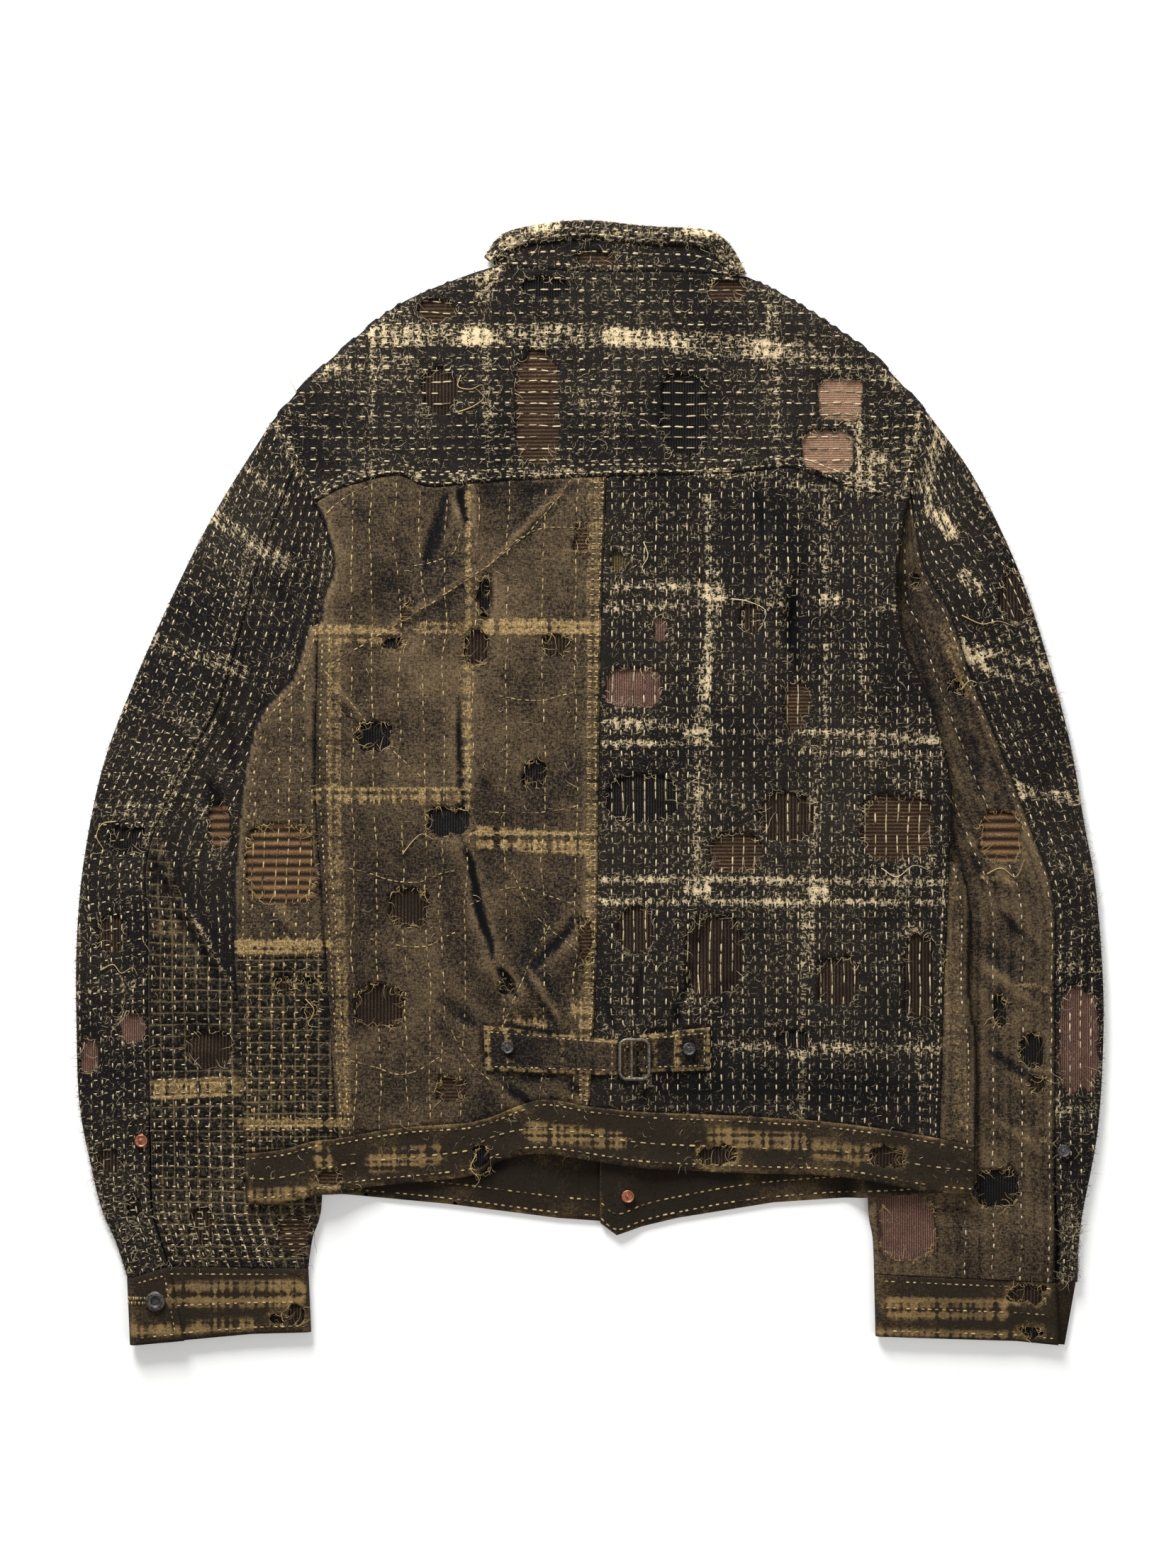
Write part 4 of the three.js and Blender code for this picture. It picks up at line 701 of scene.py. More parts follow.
# colour zones: each row is a stretch of a width with an amount
zone = "fromX fromY toX toY width amount"
lightZones = rows(zone, [
    (-150, 316, -20, 317, 15, .8), (-20, 317, 60, 312, 15, .85), (60, 312, 150, 303, 17, .75),
    (150, 303, 214, 284, 13, .6), (-76, 362, -70, 225, 8, .55), (15, 330, 17, 222, 7, .42),
    (128, 335, 133, 216, 8, .5), (-150, 326, -158, 206, 8, .42), (182, 300, 196, 212, 10, .5),
    (-87, 315, -74, 315, 13, 1.5), (16, 315, 29, 314, 13, 1.5), (122, 308, 132, 305, 12, 1.4),
    (-68, 364, -74, 345, 13, .9), (-190, 205, -120, 216, 7, .55), (-100, 214, 40, 219, 7, .5),
    (60, 222, 220, 202, 7, .5), (-222, 254, -200, 210, 8, .6), (232, 258, 222, 205, 8, .6),
    (-215, 262, -150, 232, 10, .4), (205, 225, 190, 212, 20, .75), (-190, 290, -130, 300, 9, .45),
    (12, 137, 92, 140, 5, .9), (12, 124, 92, 125, 5, .9), (95, 128, 135, 126, 6, .6), (155, 130, 215, 124, 8, .35),
    (8, 42, 90, 40, 6, .8), (8, 28, 90, 27, 5, .7), (150, 36, 248, 30, 6, 1.0), (150, 24, 248, 18, 6, .7),
    (95, 36, 145, 30, 6, .4), (8, -68, 250, -70, 6, .95), (8, -83, 250, -84, 6, .8), (60, -185, 250, -188, 9, .65),
    (84, 200, 88, 128, 9, .5), (88, 128, 77, 34, 9, .85), (77, 34, 76, -72, 9, .6), (76, -72, 70, -160, 8, .4),
    (168, 205, 166, 30, 8, .5), (164, 30, 155, -80, 8, .55), (155, -80, 149, -235, 8, .6),
    (222, 60, 240, -60, 8, .35), (190, 110, 205, -60, 7, .4), (215, 0, 236, -235, 8, .4), (83, 133, 92, 133, 12, 1.5),
    (72, 34, 80, 34, 11, 1.4), (72, -75, 80, -75, 12, 1.4), (165, 129, 172, 129, 10, 1.2),
    (158, -78, 165, -78, 11, 1.4), (145, -190, 153, -190, 10, 1.2), (84, 148, 90, 148, 5, 1.1),
    (-270, 190, -214, 156, 11, .7), (-312, 102, -246, 78, 12, .75), (-328, 52, -262, 40, 7, .35),
    (-350, -20, -312, -18, 8, .45), (-360, -146, -312, -140, 9, .4), (-352, -236, -312, -232, 8, .4),
    (-250, 226, -214, 200, 9, .5), (-240, 170, -262, 60, 7, .4), (-262, 60, -312, -40, 6, .3),
    (250, 250, 236, 210, 12, .65), (242, 222, 238, 190, 7, .9), (246, 188, 256, 176, 11, 1.3),
    (264, 146, 274, 136, 11, 1.2), (262, 98, 325, 80, 8, .85), (266, 84, 330, 66, 7, .7), (264, 92, 276, 88, 12, 1.3),
    (298, -4, 346, -12, 10, .8), (296, -2, 304, -6, 12, 1.2), (270, 210, 330, 60, 7, .3), (334, -60, 360, -62, 8, .5),
    (330, -130, 362, -130, 8, .45), (330, -232, 360, -230, 8, .5), (-62, 384, 96, 386, 6, .55),
    (-40, 392, -24, 394, 9, .95), (70, 391, 84, 389, 9, .95), (-60, 378, -40, 388, 7, .8),
    (-55, 369, -10, 366, 5, .5),
])
ochreZones = rows(zone, [
    (-190, 106, -140, 104, 13, .9), (-120, 110, -92, 108, 11, .6), (-70, 110, 8, 108, 14, 1.0),
    (-192, -9, -96, -9, 13, .85), (-78, -38, 6, -44, 17, .95), (-85, 208, -84, 112, 9, .7),
    (-86, 112, -86, -14, 9, .75), (-180, 100, -181, -10, 13, .6), (-180, -20, -172, -240, 12, .6),
    (3, 212, 2, -30, 11, .6), (3, -30, -3, -220, 10, .75), (-247, -115, -188, -113, 13, 1.0),
    (-244, -240, -178, -238, 11, .85), (-308, -216, -250, -214, 15, 1.0), (-306, -103, -276, -100, 13, .55),
    (252, -120, 262, -240, 13, .5), (256, -60, 262, -130, 10, .4), (268, 60, 250, 96, 6, .6),
    (276, -66, 300, -70, 5, .7), (300, -140, 322, -146, 6, .6), (284, -246, 324, -252, 5, .6),
    (-236, -290, -200, -288, 9, .5), (-150, -268, -110, -262, 16, .5), (-40, -246, 20, -252, 14, .55),
    (90, -250, 150, -254, 14, .5), (-190, -258, -182, -282, 12, .6), (160, -258, 190, -262, 14, .35),
    (-290, -362, -210, -360, 20, .5), (-320, -386, -240, -382, 9, .5), (215, -370, 290, -372, 16, .45),
    (205, -388, 300, -390, 6, .4), (262, 74, 286, 62, 10, .55), (300, -95, 322, -96, 9, .35),
    (250, 108, 264, 90, 12, .5), (-148, 210, -120, 206, 9, .4), (-36, 200, -10, 196, 16, .4),
    (-60, -150, 5, -160, 22, .4), (-12, -180, -2, -200, 12, .8), (-8, -160, 0, -176, 12, .8),
    (-56, -166, -30, -170, 8, .8),
])
cinchZones = rows(zone, [
    (-75, -176, -74, -198, 9, 1.0), (-58, -176, -56, -198, 6, .8), (84, -176, 84, -200, 8, 1.0),
    (62, -176, 62, -200, 6, .9), (-74, -172, 20, -182, 4, 1.0), (-74, -202, 20, -205, 4, 1.0),
    (35, -178, 85, -173, 4, 1.0), (35, -203, 85, -202, 4, .9), (-20, -178, -18, -204, 6, .5),
    (46, -176, 46, -203, 5, .6), (22, -184, 33, -183, 5, .7), (24, -196, 33, -197, 5, .5),
])
# painted shade along creases, pleats, armholes, round the straps and under the collar lip, with a dark indigo tone in a
# few places
paintedShadeAndIndigoZones = rows(zone, [
    (-102, 203, -117, 148, 5, 1.0), (-91, 214, -88, 176, 4, .9), (-83, 208, 0, 210, 9, .55),
    (-83, 208, -60, 196, 14, .4), (118, 219, 122, 165, 4, .8), (143, 140, 145, 74, 10, 1.0),
    (100, 212, 185, 212, 16, .55), (132, 205, 152, 140, 26, .45), (-120, 100, -98, 97, 26, .5),
    (-186, 20, -186, -240, 5, .5), (-194, 110, -184, -245, 4, .8), (9, 212, 1, -226, 3, .5),
    (-92, 60, -90, -42, 4, .8), (-88, -44, -67, -128, 4, .9), (-64, -130, -50, -150, 4, .8),
    (82, -92, 76, -127, 5, .9), (76, -127, 61, -158, 6, 1.0), (61, -156, 61, -172, 5, .9),
    (36, -122, 33, -174, 3, .7), (100, -212, 245, -216, 30, .9), (40, -214, 100, -214, 22, .85),
    (-72, -207, 84, -211, 4, .8), (-100, -60, -94, -130, 12, .3), (-200, -60, -190, -95, 10, .4),
    (-268, 4, -251, -52, 11, 1.0), (-254, 40, -250, 0, 6, .9), (-312, -48, -292, -86, 8, .9),
    (-292, -86, -258, -146, 9, 1.0), (-300, -120, -262, -170, 30, .45), (-250, -90, -249, -260, 5, .7),
    (-196, 160, -200, 110, 12, .8), (-226, 70, -246, 20, 9, .7), (222, 150, 226, 120, 8, .9),
    (228, 110, 250, 30, 7, .75), (256, -10, 272, -240, 5, .7), (236, 152, 300, 10, 5, .55),
    (300, 10, 328, -90, 4, .45), (328, -90, 328, -300, 4, .45), (-207, 224, -262, 54, 4, .5),
    (-262, 54, -311, -50, 4, .5), (-311, -50, -310, -270, 4, .55), (270, -290, 310, -280, 26, .5),
    (262, 14, 298, -8, 18, .35), (282, -118, 322, -128, 20, .45), (286, -200, 324, -232, 22, .45),
    (250, -312, 330, -332, 20, .4), (-205, 190, -218, 90, 24, .75), (218, 150, 236, 90, 14, .7),
    (240, 120, 262, 40, 12, .5), (300, -60, 318, -100, 14, .5), (-76, -170, 22, -180, 3, .8),
    (34, -174, 86, -170, 3, .8), (86, -170, 87, -206, 3, .8), (-77, -170, -76, -204, 3, .8),
    (228, 258, 222, 200, 3, .5), (-224, 252, -196, 200, 3, .5), (-60, 381, 10, 385, 6, .9), (10, 385, 88, 383, 6, .9),
    (88, 383, 102, 368, 6, .9), (-66, 374, -60, 381, 5, .8), (-190, 196, -60, 210, 3, .6),
    (-60, 210, 220, 200, 3, .35), (-60, -262, -80, -276, 14, .8), (150, -160, 210, -150, 40, .25),
    (20, 176, 60, 190, 30, .25), (-120, 340, -90, 330, 12, .4), (40, 340, 120, 335, 12, .4),
    (-180, 270, -130, 260, 26, .35),
])


def painted(table, x, y):
    amount = np.zeros(np.shape(x))
    for row in table:
        away = toLine(x, y, [(row["fromX"], row["fromY"]), (row["toX"], row["toY"])])
        amount = np.maximum(amount, row["amount"] * smooth((row["width"] / 2 + 1.6 - away) / 3.2))
    return amount


def shaded(table, x, y):
    # soft darkening that fades to the sides and ends of each line
    amount = np.zeros(np.shape(x))
    for row in table:
        away, share = runningOut(x, y, row)
        amount = np.maximum(amount, row["amount"] * share ** 0.5 * np.exp(-(away / (0.62 * row["width"])) ** 2))
    return amount


def clothWeights(name, x, y):
    # share of olive cotton, waffle check and black twill at each point; the rest is napped check
    olive, waffle, twill = (np.zeros(np.shape(x)) for _ in range(3))
    if name in ("back_left", "front_left", "sleeve_right_inner") or name.startswith("cinch"):
        olive += 1
    if name == "side_left":
        waffle = smooth((-120 - y) / 4)
        olive = 1 - waffle
    if name == "side_right":
        olive += 1
    if name == "sleeve_left_inner":
        edge = np.interp(-y, [27, 80, 109, 150], [-305, -288, -273, -250])
        low = np.clip(smooth((-24 - y) / 6) * smooth((edge - x + 2) / 4) + smooth((-146 - y) / 5), 0, 1)
        waffle = low
    if name.startswith(("hem", "cuff")):
        twill += 1
    return olive, waffle, twill


def raisedOf(height, reach, full):
    # how far each point stands above the cloth round it, from -1 to 1
    padded = np.pad(height, reach, mode="edge")
    size = 2 * reach
    sides = (padded[size:, reach:-reach], padded[:-size, reach:-reach], padded[reach:-reach, size:],
             padded[reach:-reach, :-size])
    return np.clip((height - sum(sides) / 4) / full, -1, 1)


relief = {"near": (1, 0.7), "far": (3, 2.6)}


def attributesOf(panel, x, y):
    olive, waffle, twill = clothWeights(panel.name, x, y)
    height = panel.grid[..., 2]
    # above 0 on raised folds of the drape (partly rubbed wear, partly painted highlight), below 0 in its hollows
    # (painted shade)
    wear = 0.6 * raisedOf(height, *relief["near"]) + 0.5 * raisedOf(height, *relief["far"])
    light = 0.3 + 0.16 * wander(x, y, 70) + 0.72 * painted(lightZones, x, y) * (0.8 + 0.3 * wander(x, y, 33))
    ochre = painted(cinchZones if panel.name.startswith("cinch") else ochreZones, x, y)
    rim = np.exp(-np.clip(-panel.past, 0, 99) / 1.3) * (0.55 + 0.45 * wander(x, y, 30))
    # painted shade from the zones above, with a little darker tone at random
    paintedShadeAndDarkTone = np.clip((0.9 - 0.4 * olive) * shaded(paintedShadeAndIndigoZones, x, y) + 0.16 * wander(x, y, 95), 0, 1)
    if panel.name == "collar_fall":
        light = light + 0.18
    # the straps are a darker olive all over
    if panel.name.startswith("cinch"):
        paintedShadeAndDarkTone = np.clip(paintedShadeAndDarkTone + 0.25, 0, 1)
    # the fronts and their hems are darkened all over
    if panel.name.startswith(("hem_front", "front")):
        paintedShadeAndDarkTone = np.clip(paintedShadeAndDarkTone + 0.4, 0, 1)
    return {"light": light, "ochre": ochre, "paintedShadeAndDarkTone": paintedShadeAndDarkTone, "olive": olive, "waffle": waffle, "twill": twill,
            "rim": rim, "wear": wear}


# shader arithmetic: one socket, whose operators add Math nodes
class Shade:
    def __init__(self, tree, socket=None):
        self.tree, self.socket = tree, socket

    def put(self, kind, settings=None, inputs=None, out=0):
        node = self.tree.nodes.new("ShaderNode" + kind)
        for key, value in (settings or {}).items():
            setattr(node, key, value)
        for key, value in (inputs or {}).items():
            if isinstance(value, Shade):
                self.tree.links.new(value.socket, node.inputs[key])
            else:
                node.inputs[key].default_value = value
        return Shade(self.tree, node.outputs[out])

    def maths(self, operation, first, second=0.0):
        return self.put("Math", {"operation": operation}, {0: first, 1: second})

    def __add__(self, other):
        return self.maths("ADD", self, other)

    def __sub__(self, other):
        return self.maths("SUBTRACT", self, other)

    def __rsub__(self, other):
        return self.maths("SUBTRACT", other, self)

    def __mul__(self, other):
        return self.maths("MULTIPLY", self, other)

    __radd__ = __add__
    __rmul__ = __mul__

    def most(self, other):
        return self.maths("MAXIMUM", self, other)

    def sine(self):
        return self.maths("SINE", self)

    def size(self):
        return self.maths("ABSOLUTE", self)

    def step(self, low, high):
        # soft step from 0 at low to 1 at high
        settings = {"interpolation_type": "SMOOTHSTEP"}
        return self.put("MapRange", settings, {"Value": self, "From Min": low, "From Max": high})

    def scaled(self, x, y, z=1.0):
        return self.put("VectorMath", {"operation": "MULTIPLY"}, {0: self, 1: (x, y, z)})

    def noise(self, scale=1.0, detail=2.0, roughness=0.5, distortion=0.0):
        inputs = {"Vector": self, "Scale": scale, "Detail": detail, "Roughness": roughness, "Distortion": distortion}
        return self.put("TexNoise", {}, inputs)

    def part(self, which):
        return self.put("SeparateXYZ", {}, {0: self}, which)

    def blend(self, low, high):
        # mixes two colours by this value
        settings = {"data_type": "RGBA", "clamp_factor": True}
        return self.put("Mix", settings, {0: self, 6: low, 7: high}, 2)


def ink(red, green, blue):
    # screen colour as the shader wants it
    return tuple((part / 255) ** 2.2 for part in (red, green, blue)) + (1.0,)


def startFinish(name, constants):
    material = bpy.data.materials.new(name)
    material.use_nodes = True
    base = material.node_tree.nodes["Principled BSDF"]
    for key, value in constants.items():
        base.inputs[key].default_value = value
    return material, Shade(material.node_tree), base


def wire(shade, base, **sockets):
    for key, value in sockets.items():
        shade.tree.links.new(value.socket, base.inputs[key.replace("_", " ")])


softCloth = {"Roughness": 0.95, "Specular IOR Level": 0.12, "Sheen Weight": 0.02, "Sheen Roughness": 0.6}


def bumped(shade, height, strength, distance):
    return shade.put("Bump", {}, {"Strength": strength, "Distance": distance, "Height": height})


def boroFinish():
    # one finish for every main cloth: the attributes choose between napped check, olive, waffle and twill
    material, shade, base = startFinish("boroCloth", softCloth)
    grain = shade.put("UVMap", {"uv_map": "grain"}).scaled(1000, 1000)
    u, v = grain.part(0), grain.part(1)
    field = {name: shade.put("Attribute", {"attribute_name": name}, {}, 2)
             for name in ("light", "ochre", "paintedShadeAndDarkTone", "olive", "waffle", "twill", "rim", "wear")}
    place = shade.put("TexCoord", {}, {}, 3)
    fine = grain.noise(1.1, 2.0)
    broad = place.noise(22.0, 3.0, 0.6)
    patchy = place.noise(9.0, 2.0, 0.55)
    warp = grain.scaled(0.62, 0.26).noise(1.0, 2.0, 0.65, 0.5)
    weft = grain.scaled(0.25, 0.62).noise(1.0, 2.0, 0.65, 0.5)
    yarn = warp.most(weft)
    beat = 0.6 * (u * (2 * math.pi / 8.2)).sine() + 0.4 * (v * (2 * math.pi / 8.6)).sine()
    density = field["light"] * (0.78 + 0.22 * beat) + 0.45 * (broad - 0.5) + 0.3 * (patchy - 0.5)
    # more pale flecks near the edges and on raised folds, the folds partly rubbed wear and partly painted highlight
    density = density + 0.1 * field["rim"] + 0.3 * field["wear"]
    fleck = (yarn - (0.665 - 0.24 * density)).step(0.0, 0.075)
    ground = (0.6 * fine + 0.4 * patchy).step(0.32, 0.7).blend(ink(11, 12, 16), ink(46, 42, 37))
    pale = (density + 0.5 * (fine - 0.5)).step(0.15, 1.15).blend(ink(122, 110, 86), ink(222, 200, 158))
    napped = fleck.blend(ground, pale)
    # olive cotton, faded at random and where it rubs, lighter on raised folds (partly rubbed wear, partly painted
    # highlight) and darker under the painted shade, with ochre bands broken by darker yarns
    tight = grain.scaled(0.75, 0.35).noise(1.0, 3.0, 0.7).most(grain.scaled(0.35, 0.75).noise(1.0, 3.0, 0.7))
    faded = (0.7 * broad + 0.5 * patchy + 2.2 * tight + 0.4 * field["wear"] - 0.5 * field["paintedShadeAndDarkTone"]).step(1.42, 2.42)
    oliveCloth = faded.blend(ink(22, 22, 24), ink(122, 103, 76))
    bars = grain.scaled(0.19, 0.0).noise(1.0, 1.0) + grain.scaled(0.0, 0.19).noise(1.0, 1.0)
    blocks = bars.step(0.86, 1.06)
    band = (field["ochre"] * (0.30 + 0.7 * blocks) * (0.05 + 1.7 * tight)).step(0.28, 0.95) * 0.85
    gold = tight.step(0.42, 0.72).blend(ink(112, 90, 57), ink(204, 174, 120))
    oliveCloth = band.blend(oliveCloth, gold)
    oliveCloth = (field["rim"] * (0.3 + tight)).step(0.45, 1.2).blend(oliveCloth, ink(158, 130, 86))
    # waffle check: dark cells between pale lines
    cell = 8.3
    ribU, ribV = (((part + 3.0 * (broad - 0.5)) * (math.pi / cell)).sine().size() for part in (u, v))
    cross = (1 - ribU).most(1 - ribV)
    pick = (cross * (0.1 + 1.5 * yarn) + 0.5 * (broad - 0.5)).step(0.52, 1.05) * 0.75
    cells = (yarn + 0.3 * (broad - 0.5)).step(0.5, 0.72).blend(ink(23, 22, 22), ink(88, 78, 60))
    waffleCloth = pick.blend(cells, ink(132, 114, 82))
    waffleCloth = band.blend(waffleCloth, gold)
    # black twill with rubbed ochre, a little lighter on raised folds, partly rubbed wear and partly painted highlight
    rib = ((u + v) * (2 * math.pi / 1.7)).sine()
    rubbed = 0.85 * field["ochre"] * blocks + 0.5 * field["rim"] + 0.9 * (broad - 0.5) + 0.9 * (tight - 0.5)
    ribbed = (0.5 + 0.3 * rib + 0.4 * tight).step(0.3, 1.1).blend(ink(18, 17, 18), ink(62, 53, 41))
    twillCloth = (rubbed + 0.3 * field["wear"]).step(0.05, 0.68).blend(ribbed, ink(146, 120, 79))
    colour = field["olive"].step(0.35, 0.65).blend(napped, oliveCloth)
    colour = field["waffle"].step(0.35, 0.65).blend(colour, waffleCloth)
    colour = field["twill"].step(0.35, 0.65).blend(colour, twillCloth)
    # painted shade: near black along creases, pleats, armholes, strap edges and under the collar lip, and a dark indigo
    # tone in places
    colour = ((field["paintedShadeAndDarkTone"] * (0.35 + 1.3 * tight)).step(0.1, 1.0) * 0.8).blend(colour, ink(11, 12, 15))
    # painted shade: the cloth goes nearly black in the hollows of the drape
    colour = ((0.0 - field["wear"]).step(0.1, 1.1) * 0.55).blend(colour, ink(9, 9, 11))
    height = fleck * 0.7 * (1 - field["olive"]) + tight * 0.5 + fine * 0.25 - cross * field["waffle"] * 1.2
    wire(shade, base, Base_Color=colour, Normal=bumped(shade, height, 0.8, 0.0016))
    return material


def cordFinish(name, groove, rib, highlight, pitch, upright=True):
    material, shade, base = startFinish(name, softCloth)
    grain = shade.put("UVMap", {"uv_map": "grain"}).scaled(1000, 1000)
    across = grain.part(0 if upright else 1)
    noise = grain.scaled(0.9, 0.9).noise(1.0, 3.0, 0.6)
    broad = shade.put("TexCoord", {}, {}, 3).noise(60.0, 2.0)
    crest = 0.5 + 0.36 * ((across + 1.6 * noise) * (2 * math.pi / pitch)).sine() + 0.5 * (noise - 0.5)
    # darker in the grooves and lighter on the crests: partly painted shade and painted highlight on the ribs; on the
    # striped tan they are its own stripes
    colour = (crest * (0.45 + noise)).step(0.1, 0.95).blend(groove, rib)
    colour = (noise * broad * crest).step(0.16, 0.42).blend(colour, highlight)
    wire(shade, base, Base_Color=colour, Normal=bumped(shade, crest + 0.6 * noise, 0.5, 0.0009))
    return material


def threadFinish(name, colour, shadow):
    material, shade, base = startFinish(name, {**softCloth, "Roughness": 0.8, "Sheen Weight": 0.0})
    tintOf = shade.put("Attribute", {"attribute_name": "tint"}, {}, 2)
    ply = shade.put("TexCoord", {}, {}, 3).noise(1400.0, 2.0)
    wire(shade, base, Base_Color=(tintOf * (0.6 + 0.8 * ply)).step(0.0, 1.0).blend(shadow, colour),
         Normal=bumped(shade, ply, 0.5, 0.0004))
    return material


def metalFinish(name, clean, dull, roughness):
    material, shade, base = startFinish(name, {"Metallic": 0.9})
    place = shade.put("TexCoord", {}, {}, 3)
    cloud, scratch = place.noise(700.0, 4.0, 0.65), place.scaled(400, 2600, 400).noise(1.0, 2.0)
    wear = (0.6 * cloud + 0.5 * scratch).step(0.4, 0.72)
    wire(shade, base, Base_Color=wear.blend(dull, clean), Roughness=roughness + 0.3 * cloud,
         Normal=bumped(shade, cloud, 0.25, 0.0003))
    return material


def floorFinish():
    constants = {"Roughness": 0.9, "Specular IOR Level": 0.1, "Emission Color": (1, 1, 1, 1), "Emission Strength": 0.14}
    material, shade, base = startFinish("paleFloor", constants)
    cloud = shade.put("TexCoord", {}, {}, 3).noise(3.0, 2.0)
    wire(shade, base, Base_Color=cloud.blend(ink(250, 250, 250), ink(253, 253, 252)))
    return material


finishes = {}


def makeFinishes():
    finishes["boro"] = boroFinish()
    finishes["cord"] = cordFinish("brownCord", ink(28, 24, 21), ink(58, 47, 37), ink(92, 74, 54), 2.4)
    finishes["rust"] = cordFinish("rustCord", ink(40, 32, 27), ink(76, 59, 44), ink(118, 90, 60), 2.6, False)
    finishes["shadow"] = cordFinish("shadowCloth", ink(15, 15, 17), ink(36, 33, 31), ink(66, 58, 48), 1.9)
    finishes["mauve"] = cordFinish("mauveCotton", ink(66, 50, 44), ink(124, 93, 80), ink(166, 132, 112), 1.6)
    finishes["pink"] = cordFinish("pinkTanCotton", ink(104, 82, 66), ink(166, 131, 106), ink(198, 165, 136), 1.6, False)
    finishes["stripe"] = cordFinish("stripedTan", ink(40, 33, 27), ink(118, 89, 62), ink(156, 122, 86), 6.2, False)
    finishes["olive"] = cordFinish("oliveBacking", ink(46, 42, 28), ink(98, 86, 56), ink(140, 122, 82), 1.8)
    finishes["cream"] = threadFinish("creamThread", ink(222, 203, 164), ink(86, 78, 62))
    finishes["gold"] = threadFinish("goldThread", ink(200, 174, 122), ink(56, 48, 36))
    finishes["lint"] = threadFinish("lint", ink(200, 182, 146), ink(40, 38, 36))
    finishes["gunmetal"] = metalFinish("gunmetal", ink(120, 116, 112), ink(46, 45, 46), 0.38)
    finishes["copper"] = metalFinish("copper", ink(206, 136, 104), ink(128, 80, 60), 0.34)
    finishes["wire"] = metalFinish("dullWire", ink(150, 142, 128), ink(70, 64, 56), 0.36)
    print("finishes mixed:", len(finishes))


# meshes: each sheet of cloth is a closed wall with its own thickness
def facesOf(keep):
    index = np.arange(keep.size).reshape(keep.shape)
    corners = np.stack([index[:-1, :-1], index[1:, :-1], index[1:, 1:], index[:-1, 1:]], 2).reshape(-1, 4)
    valid = keep.ravel()[corners]
    quads = corners[valid.all(1)]
    lacking = corners[valid.sum(1) == 3]
    gap = (~keep.ravel()[lacking]).argmax(1)
    order = (gap[:, None] + np.array([1, 2, 3])) % 4
    return quads, np.take_along_axis(lacking, order, 1)


def thickened(points, up, quads, triangles, thickness):
    # outer and inner face of a sheet, closed round every edge
    count = len(points)
    both = np.vstack([points, points - up * thickness])
    runs = np.concatenate([quads[:, [k, (k + 1) % 4]] for k in range(4)]
                          + [triangles[:, [k, (k + 1) % 3]] for k in range(3)])
    key, back = runs[:, 0] * count + runs[:, 1], runs[:, 1] * count + runs[:, 0]
    rim = runs[~np.isin(key, back)]
    rimQuads = np.stack([rim[:, 1], rim[:, 0], rim[:, 0] + count, rim[:, 1] + count], 1)
    allQuads = np.vstack([quads, quads[:, ::-1] + count, rimQuads])
    allTriangles = np.vstack([triangles, triangles[:, ::-1] + count])
    return both, allQuads, allTriangles


def newMesh(name, points, quads, triangles, material):
    mesh = bpy.data.meshes.new(name)
    faces = [tuple(face) for face in quads.tolist()] + [tuple(face) for face in triangles.tolist()]
    mesh.from_pydata((points * mm).tolist(), [], faces)
    mesh.materials.append(finishes[material])
    mesh.shade_smooth()
    piece = bpy.data.objects.new(name, mesh)
    bpy.context.scene.collection.objects.link(piece)
    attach(piece, "root")
    return piece


def setField(piece, name, values):
    attribute = piece.data.attributes.new(name, "FLOAT", "POINT")
    attribute.data.foreach_set("value", np.asarray(values, np.float32).ravel())


def setGrain(piece, grain):
    loops = np.zeros(len(piece.data.loops), np.int32)
    piece.data.loops.foreach_get("vertex_index", loops)
    layer = piece.data.uv_layers.new(name="grain")
    layer.data.foreach_set("uv", (grain[loops] * mm).astype(np.float32).ravel())


def areaOf(points, quads, triangles):
    both = np.vstack([quads[:, :3], quads[:, [0, 2, 3]], triangles]) if len(triangles) else np.vstack(
        [quads[:, :3], quads[:, [0, 2, 3]]])
    a, b, c = points[both[:, 0]], points[both[:, 1]], points[both[:, 2]]
    return float(np.linalg.norm(np.cross(b - a, c - a), axis=1).sum() / 2)


def clothPiece(name, panel, material, nodes, rests):
    keep = panel.past < wall["rim"]
    quads, triangles = facesOf(keep)
    used = np.unique(np.concatenate([quads.ravel(), triangles.ravel()]))
    fresh = np.full(keep.size, -1)
    fresh[used] = np.arange(len(used))
    quads, triangles = fresh[quads], fresh[triangles]
    points, up = panel.grid.reshape(-1, 3)[used], panel.up.reshape(-1, 3)[used]
    first = quads[:: max(1, len(quads) // 400)]
    facing = np.cross(points[first[:, 1]] - points[first[:, 0]], points[first[:, 2]] - points[first[:, 0]])
    if (facing * up[first[:, 0]]).sum() < 0:
        quads, triangles = quads[:, ::-1], triangles[:, ::-1]
    cutArea = areaOf(points, quads, triangles)
    both, quads, triangles = thickened(points, up, quads, triangles, panel.thickness)
    piece = newMesh(name, both, quads, triangles, material)
    grain = points[:, :2] if panel.grain is None else panel.grain.reshape(-1, 2)[used]
    setGrain(piece, np.vstack([grain, grain]))
    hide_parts(*nodes)
    size = (np.ptp(grain, axis=0) if panel.cut is None else np.array(panel.cut)) * mm
    area = cutArea * mm * mm
    grow = max(1.0, math.sqrt(area / (size[0] * size[1])))
    declared = dict(flat=tuple(float(part * grow) for part in size), held="laid", rests_on=rests)
    max(area, 0.3 * size[0] * size[1] * grow * grow * 1.01)
    return piece, used


restsOn = {
    "back_yoke": ["front_left", "front_right"], "back_left": ["front_left"], "back_right": ["front_right"],
    "side_left": ["sleeve_left_inner"], "side_right": ["sleeve_right_inner"], "hem_back": ["hem_front_left"],
    "collar_stand": ["collar_fall"], "cinch_strap_left": ["back_left"], "cinch_tail": ["back_right"],
    "cinch_strap_right": ["back_right"],
}


